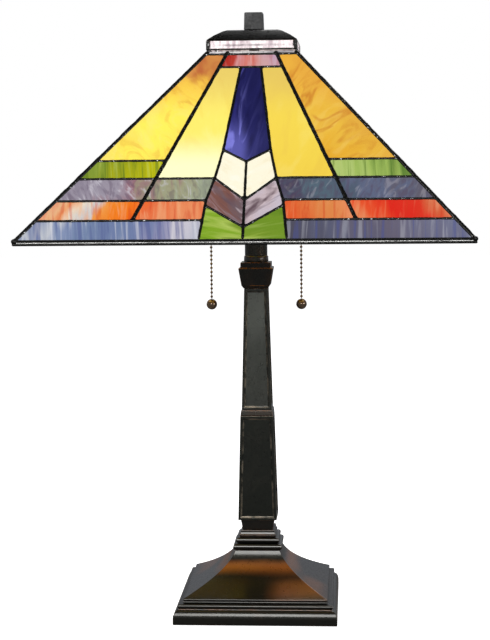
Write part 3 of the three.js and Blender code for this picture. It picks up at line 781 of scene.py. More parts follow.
def grow(bm, faces):
    # gives flat faces a second side, and returns the corners of that side
    grown = bmesh.ops.extrude_face_region(bm, geom=faces, use_keep_orig=True)
    return [v for v in grown["geom"] if isinstance(v, bmesh.types.BMVert)]


def nodeSpan(node):
    # lowest and highest z, and the furthest reach along X
    low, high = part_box(node)
    return low.z, high.z, high.x


def finishNode(node, material):
    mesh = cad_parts[node].data
    mesh.materials.clear()
    mesh.materials.append(material)


def fusedMesh(name, bm, voxel, rounds=2):
    # overlapping solids run together into one skin, as molten solder does
    mesh = meshOf(name, bm)
    carrier = bpy.data.objects.new(name + "Carrier", mesh)
    bpy.context.scene.collection.objects.link(carrier)
    remesh = carrier.modifiers.new("fuse", "REMESH")
    remesh.mode, remesh.voxel_size = "VOXEL", voxel
    smooth = carrier.modifiers.new("settle", "SMOOTH")
    smooth.iterations = rounds
    bpy.context.view_layer.update()
    graph = bpy.context.evaluated_depsgraph_get()
    fused = bpy.data.meshes.new_from_object(carrier.evaluated_get(graph))
    bpy.data.objects.remove(carrier)
    bpy.data.meshes.remove(mesh)
    return fused


def roughened(mesh, transform, amount, size, seed):
    # a copy, moved into place and made lumpy along its normals
    copy = mesh.copy()
    shift = Vector((seed * 3.1, seed * 1.7, seed * 2.3))
    moves = []
    for vertex in mesh.vertices:
        lump = noise.noise(vertex.co / size + shift) + 0.5 * noise.noise(vertex.co / size * 2.3 + shift)
        moves.append(vertex.normal * lump * amount)
    for vertex, move in zip(copy.vertices, moves):
        vertex.co += move
    copy.transform(transform)
    return copy


# shade

shade = {
    "half": 0.2032,  # from the lamp's axis to the outside of the glass at the rim line
    "crownHalf": 0.042,
    "rise": 0.1748,
    "thickness": 0.003,
    "web": 0.0005,  # solder between a glass edge and the middle of its seam
    "hipInset": 0.0026,
    "channelDepth": 0.0004,
    "wideSeam": 0.0039,
    "thinSeam": 0.0028,
    "seamTop": 0.988,  # share of the slope where the slanting seams end in the crown
    "seamHeight": 0.0012,
    "seamSpread": 0.62,  # the share of a seam's width that it reaches to each side
    "seamFoot": 0.012,  # share of the slope where the seams end behind the rim
    "seamVoxel": 0.00085,
    "seamLumps": (0.00024, 0.006),  # height and size of the lumps in the solder
    "hipWidth": 0.0048,
    "hipSink": 0.0009,
    "hipVoxel": 0.0009,
    "hipLumps": (0.00028, 0.007),
    "blobRadius": 0.0026,
    "ground": 0.0003,  # bevel of a glass edge
}
# levels as shares of the slope: the glass edge in the crown, then the lower end of each row
rows = {
    "top": 0.997, "clear": 0.978, "pink": 0.904, "amber": 0.4, "strip": 0.307, "grey": 0.196, "red": 0.098,
}
diagonalShare = 0.53  # where the slanting seams lie between the middle and the edge
# (share of the slope, distance from the middle) along the seams beside the cobalt piece
centreSeam = [(0.904, 0.0097), (0.453, 0.0217), (0.307, 0.0278), (0.196, 0.0344), (0.0, 0.0388)]
# where each chevron meets those seams, and where its point is
chevrons = [(0.453, 0.391), (0.307, 0.196), (0.171, 0.0625)]

run = shade["half"] - shade["crownHalf"]
slope = math.atan2(shade["rise"], run)
slant = math.hypot(run, shade["rise"])
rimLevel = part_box("glass_front")[1].z - shade["rise"]
faceNames = ("front", "right", "back", "left")


def halfAt(share):
    return shade["half"] - run * share


def diagonalAt(share):
    return halfAt(share) * diagonalShare


def centreAt(share):
    for (high, start), (low, end) in zip(centreSeam, centreSeam[1:]):
        if share >= low:
            return start + (end - start) * (high - share) / (high - low)
    return centreSeam[-1][1]


def faceFrame(quarter):
    # takes (distance from the middle, way up the slope, height over the glass) to its place on one face
    tilt = Matrix.Translation((0, -shade["half"], rimLevel)) @ Matrix.Rotation(slope, 4, "X")
    return Matrix.Rotation(quarter * math.pi / 2, 4, "Z") @ tilt


def piecesOfFace():
    # the corners of each kind of glass piece, as (distance from the middle, share of the slope)
    edge = lambda share: halfAt(share) - shade["hipInset"]
    outer = lambda share: (diagonalAt(share), share)
    inner = lambda share: (centreAt(share), share)
    mirrored = lambda point: (-point[0], point[1])
    band = lambda far, near, high, low: [
        (far(high), high), (near(high), high), (near(low), low), (far(low), low)
    ]
    middle = lambda high, low: [mirrored(outer(high)), outer(high), outer(low), mirrored(outer(low))]
    foot = shade["channelDepth"] / slant
    top, clear, pink, amber, strip, grey, red = rows.values()
    firstSide, firstPoint = chevrons[0]
    secondPoint, (lastSide, lastPoint) = chevrons[1][1], chevrons[2]
    kinds = {
        "clear": [band(edge, diagonalAt, top, clear)],
        "amber": [band(edge, diagonalAt, clear, amber)],
        "strip": [band(edge, diagonalAt, amber, strip)],
        "cream": [[outer(pink), inner(pink), inner(firstSide), inner(strip), outer(strip)]],
        "white": [[inner(firstSide), (0, firstPoint), (0, secondPoint), inner(strip)]],
        "mauve": [[inner(strip), (0, secondPoint), (0, lastPoint), inner(lastSide), inner(grey)]],
        "leaf": [[inner(lastSide), (0, lastPoint), (0, foot), inner(foot)]],
        "grey": [band(edge, diagonalAt, strip, grey), band(diagonalAt, centreAt, strip, grey)],
        "red": [band(edge, diagonalAt, grey, red), band(diagonalAt, centreAt, grey, red)],
        "lavender": [band(edge, centreAt, red, foot)],
    }
    both = {k: v + [[mirrored(point) for point in reversed(p)] for p in v] for k, v in kinds.items()}
    both["clear"].append(middle(top, clear))
    both["pink"] = [middle(clear, pink)]
    both["cobalt"] = [[
        mirrored(inner(pink)), inner(pink), inner(firstSide), (0, firstPoint), mirrored(inner(firstSide))
    ]]
    return both


# which way the streaks of each kind run, in degrees from across the face
grainAngles = {
    "clear": 90, "pink": 90, "cobalt": 82, "amber": 62, "cream": 75, "white": 40, "mauve": 48, "leaf": 14,
    "strip": 88, "grey": 70, "red": 86, "lavender": 86,
}


def cutGlass(corners):
    # one piece: its outline drawn in from its seams, given its thickness, with ground edges
    bm = bmesh.new()
    face = bm.faces.new([bm.verts.new((x, share * slant, 0)) for x, share in corners])
    if face.normal.z < 0:
        bmesh.ops.reverse_faces(bm, faces=[face])
    face.normal_update()
    ring = bmesh.ops.inset_individual(bm, faces=[face], thickness=shade["web"], depth=0.0)
    bmesh.ops.delete(bm, geom=ring["faces"], context="FACES")
    bmesh.ops.translate(bm, verts=grow(bm, list(bm.faces)), vec=(0, 0, -shade["thickness"]))
    bmesh.ops.recalc_face_normals(bm, faces=bm.faces)
    bmesh.ops.bevel(
        bm, geom=bm.edges, offset=shade["ground"], offset_type="OFFSET", segments=1, profile=0.5,
        affect="EDGES", clamp_overlap=True, material=-1,
    )
    return bm


def mapGlass(bm, angle, shift):
    # "face" runs over the whole face; "grain" is in metres along this piece's streaks
    faceMap = bm.loops.layers.uv.new("face")
    grainMap = bm.loops.layers.uv.new("grain")
    turn = Matrix.Rotation(-math.radians(angle), 2)
    for face in bm.faces:
        for loop in face.loops:
            x, up = loop.vert.co.x, loop.vert.co.y
            share = up / slant
            loop[faceMap].uv = (0.5 + 0.5 * x / halfAt(share), share)
            loop[grainMap].uv = turn @ Vector((x, up)) + shift


def makeGlassFaces():
    kinds = piecesOfFace()
    for quarter, faceName in enumerate(faceNames):
        for kind, outlines in kinds.items():
            whole = bmesh.new()
            for outline in outlines:
                bm = cutGlass(outline)
                middle = sum(point[0] for point in outline) / len(outline)
                lean = grainAngles[kind] if middle >= 0 else 180 - grainAngles[kind]
                shift = Vector((random.uniform(0, 9), random.uniform(0, 9)))
                mapGlass(bm, lean + random.uniform(-5, 5), shift)
                takeIn(whole, bm)
            whole.transform(faceFrame(quarter))
            addPiece(
                f"glass_{faceName}_{kind}", whole, glassMaterials[kind], "shade", "stained_glass",
                [f"glass_{faceName}"], smooth=False, weighted=False,
            )


def addSeam(bm, first, second, width):
    # an elliptical bar with round ends, through the thickness of the glass
    start = Vector((first[0], first[1] * slant, -shade["thickness"] / 2))
    end = Vector((second[0], second[1] * slant, -shade["thickness"] / 2))
    way = end - start
    wide, deep = shade["seamSpread"] * width, shade["thickness"] / 2 + shade["seamHeight"]
    turn = Matrix.Rotation(math.atan2(way.y, way.x), 4, "Z")
    bar = Matrix.Translation((start + end) / 2) @ turn @ Matrix.Diagonal((1, wide, deep, 1))
    addBar(bm, 14, 1, way.length, bar @ Matrix.Rotation(math.pi / 2, 4, "Y"))
    for point in (start, end):
        knob = Matrix.Translation(point) @ Matrix.Diagonal((wide, wide, deep, 1))
        bmesh.ops.create_uvsphere(bm, u_segments=14, v_segments=8, radius=1, matrix=knob)


def seamsOfFace():
    # the two ends and the width of every seam of a face
    wide, thin, foot = shade["wideSeam"], shade["thinSeam"], shade["seamFoot"]
    seamTop = shade["seamTop"]
    hip = lambda share: halfAt(share) - 0.001
    across = lambda reach, share: ((-reach(share), share), (reach(share), share), thin)
    seams = [across(hip, rows["clear"]), across(diagonalAt, rows["pink"])]
    seams.append(((0, chevrons[0][1]), (0, foot), thin))
    for side in (-1, 1):
        line = lambda x1, s1, x2, s2, width: seams.append(((side * x1, s1), (side * x2, s2), width))
        line(diagonalAt(seamTop), seamTop, diagonalAt(rows["red"]), rows["red"], wide)
        line(diagonalAt(rows["amber"]), rows["amber"], hip(rows["amber"]), rows["amber"], thin)
        for key in ("strip", "grey", "red"):
            line(centreAt(rows[key]), rows[key], hip(rows[key]), rows[key], thin)
        stops = [point[0] for point in centreSeam[:-1]] + [foot]
        for high, low in zip(stops, stops[1:]):
            line(centreAt(high), high, centreAt(low), low, thin)
        for sideShare, pointShare in chevrons:
            line(centreAt(sideShare), sideShare, 0, pointShare, thin)
    return seams


def addSolder(name, bead, place, lumps, seed):
    mesh = roughened(bead, place, *lumps, seed)
    placePiece(name, mesh, metals["solder"], "shade", "lead", [name], weighted=False)


def makeLeading():
    bm = bmesh.new()
    for first, second, width in seamsOfFace():
        addSeam(bm, first, second, width)
    net = fusedMesh("leading", bm, shade["seamVoxel"])
    for quarter, faceName in enumerate(faceNames):
        addSolder(f"leading_{faceName}", net, faceFrame(quarter), shade["seamLumps"], quarter + 1)
    bpy.data.meshes.remove(net)


def makeHips():
    # a thick bead of solder down each corner, ending in a blob over the corner of the rim
    down = Vector((shade["half"] * math.sqrt(2), 0, rimLevel))
    up = Vector((shade["crownHalf"] * math.sqrt(2), 0, rimLevel + shade["rise"]))
    way = (up - down).normalized()
    along = way.to_track_quat("Z", "Y").to_matrix().to_4x4()
    start, end = down - way * 0.0005 - Vector((0.0012, 0, 0.0005)), up - way * 0.001
    inward = Vector((way.z, 0, -way.x)) * -shade["hipSink"]
    bm = bmesh.new()
    middle = Matrix.Translation((start + end) / 2 + inward)
    addBar(bm, 20, shade["hipWidth"] / 2, (end - start).length, middle @ along)
    blob = Matrix.Translation(down + Vector((-0.0008, 0, -0.0002)))
    bmesh.ops.create_uvsphere(
        bm, u_segments=20, v_segments=12, radius=1, matrix=blob @ Matrix.Scale(shade["blobRadius"], 4)
    )
    bead = fusedMesh("hip", bm, shade["hipVoxel"])
    for quarter, corner in enumerate(("front_right", "back_right", "back_left", "front_left")):
        turn = Matrix.Rotation(-math.pi / 4 + quarter * math.pi / 2, 4, "Z")
        addSolder(f"hip_{corner}", bead, turn, shade["hipLumps"], quarter + 5)
    bpy.data.meshes.remove(bead)


def mitredRail(section):
    # a length of one section of (distance from the axis, z) points, mitred at both ends, on the front side
    bm = bmesh.new()
    face = bm.faces.new([bm.verts.new((-reach, -reach, z)) for reach, z in section])
    for vertex in grow(bm, [face]):
        vertex.co.x = -vertex.co.x
    bmesh.ops.recalc_face_normals(bm, faces=bm.faces)
    return bm


def onSlope(up, over):
    # (distance from the axis, z) of a place up the slope of the glass and over its outer face
    return (
        shade["half"] - up * math.cos(slope) + over * math.sin(slope),
        rimLevel + up * math.sin(slope) + over * math.cos(slope),
    )


rim = {
    "sole": 0.0042,  # how far the flat underside reaches in from the glass line
    "bead": (0.0015, 0.0013),  # how far the round lower edge stands out, and half its height
    "beadInset": 0.0004,
    "gap": 0.0003,  # between the glass and the channel that holds it
    "outerLip": 0.0011,  # how far the lips of the channel reach up the glass
    "innerLip": 0.0021,
    "sheet": 0.001,
}


def makeRim():
    s, half, low = rim, shade["half"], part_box("rim_front")[0].z
    gap, under = s["gap"], -shade["thickness"] - s["gap"]
    section = [(half - s["sole"], low)]
    section += quarterTurns((half - s["beadInset"], low + s["bead"][1]), s["bead"], -70, 70, 6)
    section += [(half + 0.0001, rimLevel - 0.0012), onSlope(0.0002, 0.0008), onSlope(s["outerLip"], 0.0007)]
    section += [onSlope(s["outerLip"], gap), onSlope(gap, gap), onSlope(gap, under)]
    section += [onSlope(s["innerLip"], under), onSlope(s["innerLip"], under - s["sheet"])]
    for quarter, faceName in enumerate(faceNames):
        bm = mitredRail(section)
        softenEdges(bm, 0.00025, 20)
        bm.transform(Matrix.Rotation(quarter * math.pi / 2, 4, "Z"))
        addPiece(f"rim_{faceName}", bm, metals["rim"], "shade", "lead", [f"rim_{faceName}"])


crown = {
    "half": 0.044,
    "wall": 0.0028,
    "post": 0.0034,
    "sill": 0.0014,
    "rib": 0.0014,  # width of a rib of the glass
    "ribDepth": 0.0002,
    "ribPoints": 4,
}


def makeCrown():
    low, high = nodeSpan("crown_frame")[:2]
    outer, post = crown["half"], crown["post"]
    inner = outer - crown["wall"]
    sill = low + crown["sill"]
    bm = spun([(inner, low), (outer, low), (outer, sill), (inner, sill), (inner, low)], 4)
    for x in (-1, 1):
        for y in (-1, 1):
            centre = outer - post / 2
            addBlock(bm, (x * centre, y * centre, (low + high) / 2), (post, post, high - low))
    softenEdges(bm, 0.0003, 40)
    addPiece("crown_frame_visual", bm, metals["solder"], "shade", "lead", ["crown_frame"])


def makeCrystalPanes():
    low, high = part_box("crystal_front")
    steps = round((high.x - low.x) / crown["rib"]) * crown["ribPoints"]
    outline = []
    for i in range(steps + 1):
        x = low.x + (high.x - low.x) * i / steps
        groove = 1 - abs(math.sin(math.pi * i / crown["ribPoints"]))
        outline.append((x, low.y + crown["ribDepth"] * groove, low.z))
    outline += [(high.x, high.y, low.z), (low.x, high.y, low.z)]
    for quarter, faceName in enumerate(faceNames):
        bm = bmesh.new()
        face = bm.faces.new([bm.verts.new(point) for point in outline])
        bmesh.ops.translate(bm, verts=grow(bm, [face]), vec=(0, 0, high.z - low.z))
        bmesh.ops.recalc_face_normals(bm, faces=bm.faces)
        bm.transform(Matrix.Rotation(quarter * math.pi / 2, 4, "Z"))
        addPiece(
            f"crystal_{faceName}_visual", bm, crystal, "shade", "crystal", [f"crystal_{faceName}"],
            smooth=False, weighted=False,
        )


cap = {
    "sheet": 0.0012,
    # in from the brim and up, then in from the brim and down from the top
    "brimPoints": [(0.0, 0.0), (0.0, 0.0009), (0.0068, 0.0057)],
    "topPoints": [(0.0152, 0.0017), (0.019, 0.0006)],
}


def makeCap():
    low, high, brim = nodeSpan("shade_cap")
    outside = [(brim - inset, low + up) for inset, up in cap["brimPoints"]]
    outside += [(brim - inset, high - down) for inset, down in cap["topPoints"]] + [(0, high)]
    top = high - cap["sheet"]
    inside = [(0, top), (brim - 0.0195, top - 0.0006), (brim - 0.0076, low + 0.005), (brim - 0.0014, low)]
    addTurned(
        "shade_cap", inside + outside, 4, metals["capBlack"], "shade", "black_metal", (0.0006, 12, 3), "cap"
    )


def makeFinial():
    low, high, half = nodeSpan("finial")
    outline = [(0, low), (half - 0.0004, low), (half, low + 0.0008), (half - 0.0005, high - 0.0006)]
    outline += [(half - 0.0012, high), (0, high)]
    addTurned("finial", outline, 4, metals["finialGrey"], "finial", "finial_metal", (0.0005, 15, 3))


makeGlassFaces()
print("glass cut")
makeLeading()
makeHips()
makeRim()
makeCrown()
makeCrystalPanes()
makeCap()
makeFinial()
print("shade soldered")

# base and column

base = {
    "wall": 0.0035,
    "plinthHalf": 0.0802,
    "stepHalf": 0.0758,
    "stepHeight": 0.0046,
    "beadHalf": 0.0708,
    "beadHeight": 0.0024,
    "beadReach": 0.0012,
    "flareTopHalf": 0.0223,
    "flareHeight": 0.0367,
    "flareBend": (0.0064, 0.0179),  # how far the pull of the curve lies out from the top, and down
}
mouldings = {"lower_moulding": 0.0033, "middle_moulding": 0.0029}  # how far each bulges
plainBlocks = {"column_foot": (0.0151, 0.0168), "column_belt": (0.0164, 0.0156)}  # half width below and above


def addCast(node, outline, edges, finish="bronze", steps=4, name=None):
    addTurned(node, outline, steps, metals[finish], "stand", "bronze", edges, name)


def makeBase():
    s = base
    low, high = nodeSpan("base_casting")[:2]
    flareFoot = high - s["flareHeight"]
    beads = flareFoot - 2 * s["beadHeight"]
    step = beads - s["stepHeight"]
    beadMiddle = s["beadHalf"] - s["beadReach"]
    start, end = Vector((beadMiddle, flareFoot)), Vector((s["flareTopHalf"], high))
    bend = end + Vector((s["flareBend"][0], -s["flareBend"][1]))
    flare = []
    for i in range(25):
        t = i / 24
        flare.append(tuple(start * (1 - t) ** 2 + bend * 2 * t * (1 - t) + end * t * t))
    beadPoints = []
    for i in range(2):
        middle = (beadMiddle, beads + (i + 0.5) * s["beadHeight"])
        beadPoints += quarterTurns(middle, (s["beadReach"], s["beadHeight"] / 2), -90, 90, 8)
    roll = s["plinthHalf"] - s["stepHalf"] + 0.0006
    ogee = [(s["plinthHalf"] - 0.0004, low), (s["plinthHalf"], low + 0.0006)]
    ogee += quarterTurns((s["plinthHalf"] - roll, low + 0.0056), (roll, step - 0.0062 - low), 0, 88, 12)
    steps = [(s["stepHalf"] - 0.0008, step), (s["stepHalf"] - 0.0008, step + 0.0006)]
    steps += quarterTurns((s["stepHalf"] - 0.0016, step + 0.0026), (0.0016, 0.002), -60, 90, 10)
    inner, ceiling = s["plinthHalf"] - 0.0085, high - s["wall"]
    hollow = [(0, ceiling), (s["flareTopHalf"] - s["wall"], ceiling), (0.03, high - 0.0225), (0.062, beads)]
    hollow += [(inner, step - s["wall"]), (inner, low)]
    outline = hollow + ogee + steps + beadPoints + flare + [(0, high)]
    addCast("base_casting", outline, (0.0005, 30), "baseBronze", name="base")


def makeMouldings():
    for node, bulge in mouldings.items():
        low, high, half = nodeSpan(node)
        middle = (half - bulge, (low + high) / 2)
        arc = quarterTurns(middle, (bulge, (high - low) / 2), -90, 90, 14)
        addCast(node, [(0, low)] + arc + [(0, high)], (0.0003, 40))
    low, high, half = nodeSpan("upper_moulding")
    cove = quarterTurns((half + 0.0004, high - 0.0002), (0.0019, 0.0042), 185, 260, 7)
    outline = [(0, low), (half - 0.0004, low), (half, low + 0.0006), (half, low + 0.002)]
    outline += list(reversed(cove)) + [(half - 0.0016, high), (0, high)]
    addCast("upper_moulding", outline, (0.0003, 30))
    for node, (bottomHalf, topHalf) in plainBlocks.items():
        low, high = nodeSpan(node)[:2]
        addCast(node, [(0, low), (bottomHalf, low), (topHalf, high), (0, high)], (0.0006, 30, 3))


def makeCapital():
    low, high, half = nodeSpan("capital")
    shoulder, inner = high - 0.0058, 0.015
    outline = [(0, low), (0.012, low), (0.0142, low + 0.0031), (half, shoulder)]
    outline += [(half - 0.0006, shoulder + 0.0004), (inner, shoulder + 0.0005), (inner, high), (0, high)]
    addCast("capital", outline, (0.0006, 18, 3), "capitalBronze")


columns = {
    "upper_column": {"bottomHalf": 0.015, "topHalf": 0.0117, "finish": "upperBronze"},
    "lower_column": {"bottomHalf": 0.0193, "topHalf": 0.0164, "finish": "shadedLowerBronze"},
}
# each face has a raised border, a bevel down to a sunk panel, and a fine step inside the bevel:
# the width of each step in from the edge, and its height
panelSteps = [(0.0034, 0.0), (0.0007, -0.0008), (0.0006, 0.0), (0.0004, -0.0004)]


def makeColumn(node, s):
    low, high = nodeSpan(node)[:2]
    bm = spun([(0, low), (s["bottomHalf"], low), (s["topHalf"], high), (0, high)], 4)
    sides = [f for f in bm.faces if abs(f.normal.z) < 0.5]
    largest = max(f.calc_area() for f in sides)
    for width, height in panelSteps:
        bmesh.ops.inset_individual(bm, faces=sides, thickness=width, depth=height)
    panel = bm.faces.layers.float.new("panel")
    for side in [f for f in bm.faces if abs(f.normal.z) < 0.5]:
        side[panel] = 1.0 if side.calc_area() > 0.5 * largest else 0.0
    softenEdges(bm, 0.00022, 20)
    addPiece(node + "_visual", bm, metals[s["finish"]], "stand", "bronze", [node])


neck = {"wall": 0.0015, "hole": 0.0054, "ringInset": 0.0009, "steps": 64}


def makeNeck():
    low, high, radius = nodeSpan("neck_tube")
    inner = radius - neck["wall"]
    tube = [(inner, low), (radius, low), (radius, high), (inner, high), (inner, low)]
    addCast("neck_tube", tube, (0.0003, 40), "neckBronze", neck["steps"])
    low, high, radius = nodeSpan("neck_ring")
    hole, radius = neck["hole"], radius - neck["ringInset"]
    ring = [(hole, low), (radius - 0.0004, low), (radius, low + 0.001), (radius - 0.0002, high - 0.001)]
    ring += [(radius - 0.0008, high), (hole, high), (hole, low)]
    addCast("neck_ring", ring, (0.0002, 40), "neckBronze", neck["steps"])


makeBase()
makeMouldings()
makeCapital()
for node, s in columns.items():
    makeColumn(node, s)
makeNeck()
print("stand made")

# lamp holders, bulbs and pulls

sides = (("left", -1), ("right", 1))
holder = {
    "shellRadius": 0.0185,
    "shoulder": 0.009,  # radius of the flat end, next to the cluster
    "wall": 0.0012,
    "hole": 0.0026,
    "taper": 0.0135,  # how far out the shell is full width
    "ribs": (0.0018, -0.004),  # from the taper outwards, and from the open end inwards
    "ferruleReach": 0.026,  # below the axis of the socket
}
bulb = {
    "neck": 0.0124,
    "neckHeight": 0.004,
    "flare": 0.0006,
    "thread": 0.0006,  # depth of the thread
    "threadRadius": 0.0124,
    "threadPoints": 48,
    "pointsPerTurn": 8,
}
pull = {
    "offset": 0.045,  # from the lamp's axis
    "ball": 0.00535,
    "bead": 0.00135,
    "wire": 0.00045,
    "pitch": 0.0041,
}
cluster = {
    "hole": 0.0054,
    "foot": 0.002,  # how far the foot is drawn in
    "arm": 0.008,
    "armOverlap": 0.004,  # how far an arm starts inside the body
    "collar": 0.0014,
    "collarWidth": 0.004,
}
bushing = {
    "hole": 0.0038,  # both measured in from the edge of the flange
    "barrel": 0.0024,
    "flange": 0.0018,
}


def acrossAt(x):
    return Matrix.Translation((x, 0, socketLevel)) @ Matrix.Rotation(math.pi / 2, 4, "Y")


def alongSocket(side):
    # takes a piece turned round Z to the socket axis on one side, its z running outwards
    return Matrix.Translation((0, 0, socketLevel)) @ Matrix.Rotation(side * math.pi / 2, 4, "Y")


def reachOf(node):
    # where a piece on the socket axis starts and ends, from the middle of the lamp
    low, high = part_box(node)
    return sorted((abs(low.x), abs(high.x)))


def makeSocket(sideName, side):
    s = holder
    start, end = reachOf(f"socket_shell_{sideName}")
    r, hole, shoulder, inner = s["shellRadius"], s["hole"], s["shoulder"], s["shellRadius"] - s["wall"]
    taper = start + s["taper"]
    outside = [(hole, start), (shoulder, start), (0.0096, start + 0.001)]
    outside += quarterTurns((shoulder, taper), (r - shoulder, 0.011), -60, 0, 8)
    for rib in (s["ribs"][0], end - taper + s["ribs"][1]):
        middle = taper + rib + 0.0012
        outside += [(r, middle - 0.0012)] + quarterTurns((r, middle), (0.0008, 0.001), -90, 90, 6)[1:-1]
        outside += [(r, middle + 0.0012)]
    inside = [(inner, end), (inner, taper), (0.0085, start + 0.004), (hole, start + 0.0012), (hole, start)]
    bm = spun(outside + [(r, end)] + inside, 48)
    bm.transform(alongSocket(side))
    foot = -s["ferruleReach"]
    ferrule = spun([
        (hole, foot), (0.0048, foot), (0.005, foot + 0.0008), (0.0042, foot + 0.002), (0.0038, -r + 0.002),
        (0.0052, -r + 0.0005), (hole, -r + 0.0005), (hole, foot),
    ], 24)
    ferrule.transform(Matrix.Translation((side * pull["offset"], 0, socketLevel)))
    takeIn(bm, ferrule)
    softenEdges(bm, 0.0002, 50)
    node = f"socket_shell_{sideName}"
    addPiece(node + "_visual", bm, metals["socketBrass"], "stand", "brass", [node])


def makeBulb(sideName, side):
    s, body = bulb, f"bulb_{sideName}"
    start, tip = reachOf(f"bulb_glass_{sideName}")
    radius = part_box(f"bulb_glass_{sideName}")[1].y
    globe = quarterTurns((0, tip - radius), (radius, radius), -38, 90, 26)
    neckPoints = [(0, start), (s["neck"], start), (s["neck"] + s["flare"], start + s["neckHeight"])]
    addTurned(
        f"bulb_glass_{sideName}", neckPoints + globe[:-1] + [(0, tip)], 48, bulbGlass, body, "bulb_glass",
        place=alongSocket(side), weighted=False,
    )
    start, end = reachOf(f"bulb_base_{sideName}")
    outline = [(0, start), (0.004, start), (0.005, start + 0.0015), (0.0112, start + 0.0035)]
    for i in range(s["threadPoints"] + 1):
        wave = s["thread"] * math.sin(i * 2 * math.pi / s["pointsPerTurn"])
        z = start + 0.0045 + (end - start - 0.006) * i / s["threadPoints"]
        outline.append((s["threadRadius"] + wave, z))
    outline += [(0.0126, end), (0, end)]
    addTurned(
        f"bulb_base_{sideName}", outline, 40, metals["steel"], body, "steel",
        place=alongSocket(side), weighted=False,
    )


def makePull(sideName, side):
    s = pull
    place = Matrix.Translation((side * s["offset"], 0, 0))

    def hang(kind, body, outline, steps):
        addTurned(
            f"{kind}_{sideName}", outline, steps, metals["pullBrass"], f"{body}_{sideName}", "antique_brass",
            place=place, weighted=False,
        )

    low, high = nodeSpan(f"pull_chain_{sideName}")[:2]
    count = round((high - low) / s["pitch"])
    pitch = (high - low) / count
    outline = [(0, low), (s["wire"], low)]
    for i in range(count):
        outline += quarterTurns((0, low + pitch * (i + 0.5)), (s["bead"], s["bead"]), -70, 70, 7)
    hang("pull_chain", "chain", outline + [(s["wire"], high), (0, high)], 14)
    low, high = nodeSpan(f"pull_ball_{sideName}")[:2]
    middle = (low + high) / 2
    ball = [(0, middle - s["ball"])] + quarterTurns((0, middle), (s["ball"], s["ball"]), -90, 78, 26)[1:]
    hang("pull_ball", "chain", ball + [(0.0012, high - 0.0002), (0.0006, high), (0, high)], 40)
    low, high = nodeSpan(f"pull_coupling_{sideName}")[:2]
    bell = [(0, low), (0.0004, low), (0.0018, low + 0.0018), (0.002, low + 0.0024)]
    bell += [(0.002, high - 0.0026), (0.0016, high - 0.0018), (0.0004, high), (0, high)]
    hang("pull_coupling", "coupling", bell, 24)


def makeCluster():
    s = cluster
    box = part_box("cluster_body")
    low, high, radius, hole = box[0].z, box[1].z, box[1].y, s["hole"]
    foot = radius - s["foot"]
    bm = spun([
        (hole, low), (foot, low), (foot, low + 0.004), (radius, low + 0.006), (radius, high - 0.008),
        (radius - 0.003, high - 0.002), (radius - 0.006, high), (hole, high), (hole, low),
    ], 48)
    for side in (-1, 1):
        middle = side * (radius + box[1].x) / 2 - side * s["armOverlap"] / 2
        addBar(bm, 32, s["arm"], box[1].x - radius + s["armOverlap"], acrossAt(middle))
        addBar(bm, 32, s["arm"] + s["collar"], s["collarWidth"], acrossAt(side * (radius + 0.001)))
    softenEdges(bm, 0.0004, 40)
    addPiece("cluster_visual", bm, metals["bronze"], "stand", "black_metal", ["cluster_body"])


def makeFelt():
    low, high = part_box("base_cover")
    bm = bmesh.new()
    addBlock(bm, (low + high) / 2, high - low)
    softenEdges(bm, 0.0008, 40, 3)
    addPiece("felt_visual", bm, felt, "stand", "felt", ["base_cover"])


def makeBushing():
    low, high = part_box("cord_bushing")
    edge, start, end = high.x, low.y, high.y
    hole, barrel, flange = edge - bushing["hole"], edge - bushing["barrel"], end - bushing["flange"]
    outline = [(hole, start), (barrel, start), (barrel, flange - 0.0002), (edge, flange)]
    outline += [(edge, end - 0.0006), (edge - 0.0008, end), (hole, end), (hole, start)]
    place = Matrix.Translation((0, 0, (low.z + high.z) / 2)) @ Matrix.Rotation(-math.pi / 2, 4, "X")
    addTurned("cord_bushing", outline, 36, phenolic, "stand", "phenolic", (0.0003, 40), "bushing", place)


makeCluster()
makeFelt()
makeBushing()
for sideName, side in sides:
    makeSocket(sideName, side)
    makeBulb(sideName, side)
    makePull(sideName, side)
    finishNode(f"socket_core_{sideName}", phenolic)
    finishNode(f"switch_drum_{sideName}", metals["socketBrass"])
    finishNode(f"pull_link_{sideName}", metals["pullBrass"])
for node in ("riser_rod", "lock_washer"):
    finishNode(node, metals["steel"])
for node in ("lock_nut", "cap_seat"):
    finishNode(node, metals["socketBrass"])
finishNode("base_weight", metals["iron"])
print("holders and pulls made")

# studio

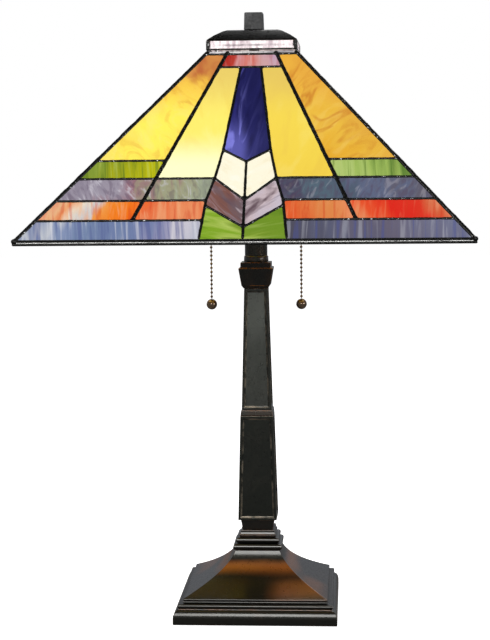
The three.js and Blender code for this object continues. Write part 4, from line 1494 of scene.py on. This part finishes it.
studio = {
    "reflected": ((0.24, 0.25, 0.27, 1), (0.06, 0.06, 0.065, 1)),  # what the metal mirrors, low and high
    "reflectedRise": (0.1, 0.8),
    "floorSize": 6,
    "floorShade": (0.2, 0.2, 0.2, 1),
    "floorSeen": (0.9, 0.9, 0.9, 1),  # the floor as the camera sees it
    "floorGlow": 0.96,
    "aim": (0, 0, 0.3),
}
lights = {
    "key": {"place": (-1.5, -1.9, 2.0), "size": 1.2, "power": 38, "colour": (1, 0.98, 0.95)},
    "fill": {"place": (1.9, -1.3, 1.1), "size": 1.4, "power": 22, "colour": (0.95, 0.97, 1)},
    "back": {"place": (0.5, 2.0, 2.2), "size": 1.2, "power": 20, "colour": (1, 1, 1)},
    "front": {"place": (-0.12, -2.4, 1.45), "size": 0.6, "tall": 1.3, "power": 30, "colour": (1, 1, 1)},
}


def makeWorld(s):
    world = bpy.data.worlds.new("studio")
    bpy.context.scene.world = world
    world.use_nodes = True
    tree = world.node_tree
    background = tree.nodes["Background"]
    seen = addNode(tree, "LightPath").outputs["Is Camera Ray"]
    rise = heightIn(tree, addNode(tree, "TexCoord").outputs["Generated"])
    mirrored = addMix(tree, addRange(tree, rise, *s["reflectedRise"]), *s["reflected"])
    connect(tree, addMix(tree, seen, mirrored, (1, 1, 1, 1)), background.inputs["Color"])
    background.inputs["Strength"].default_value = 1.0


def makeFloor(s):
    # nearly white to the camera, grey in reflections, and not there from below
    bm = bmesh.new()
    bmesh.ops.create_grid(bm, x_segments=1, y_segments=1, size=s["floorSize"])
    mesh = meshOf("floor", bm)
    floor = bpy.data.objects.new("floor", mesh)
    bpy.context.scene.collection.objects.link(floor)
    material, tree, surface = newMaterial(
        "paleFloor", Roughness=0.9, Specular_IOR_Level=0.0, Emission_Color=(1, 1, 1, 1)
    )
    seen = addNode(tree, "LightPath").outputs["Is Camera Ray"]
    connect(tree, addMix(tree, seen, s["floorShade"], s["floorSeen"]), surface["Base Color"])
    connect(tree, addProduct(tree, seen, s["floorGlow"]), surface["Emission Strength"])
    under = addNode(tree, "NewGeometry").outputs["Backfacing"]
    connect(tree, addMath(tree, "SUBTRACT", 1.0, under), surface["Alpha"])
    mesh.materials.append(material)


def makeLight(name, s):
    data = bpy.data.lights.new(name, "AREA")
    data.shape = "RECTANGLE"
    data.size, data.size_y = s["size"], s.get("tall", s["size"])
    data.energy, data.color = s["power"], s["colour"]
    lamp = bpy.data.objects.new(name, data)
    bpy.context.scene.collection.objects.link(lamp)
    lamp.location = s["place"]
    aim = Vector(studio["aim"]) - Vector(s["place"])
    lamp.rotation_euler = aim.to_track_quat("-Z", "Y").to_euler()


makeWorld(studio)
makeFloor(studio)
for name, s in lights.items():
    makeLight(name, s)
print("studio lit")
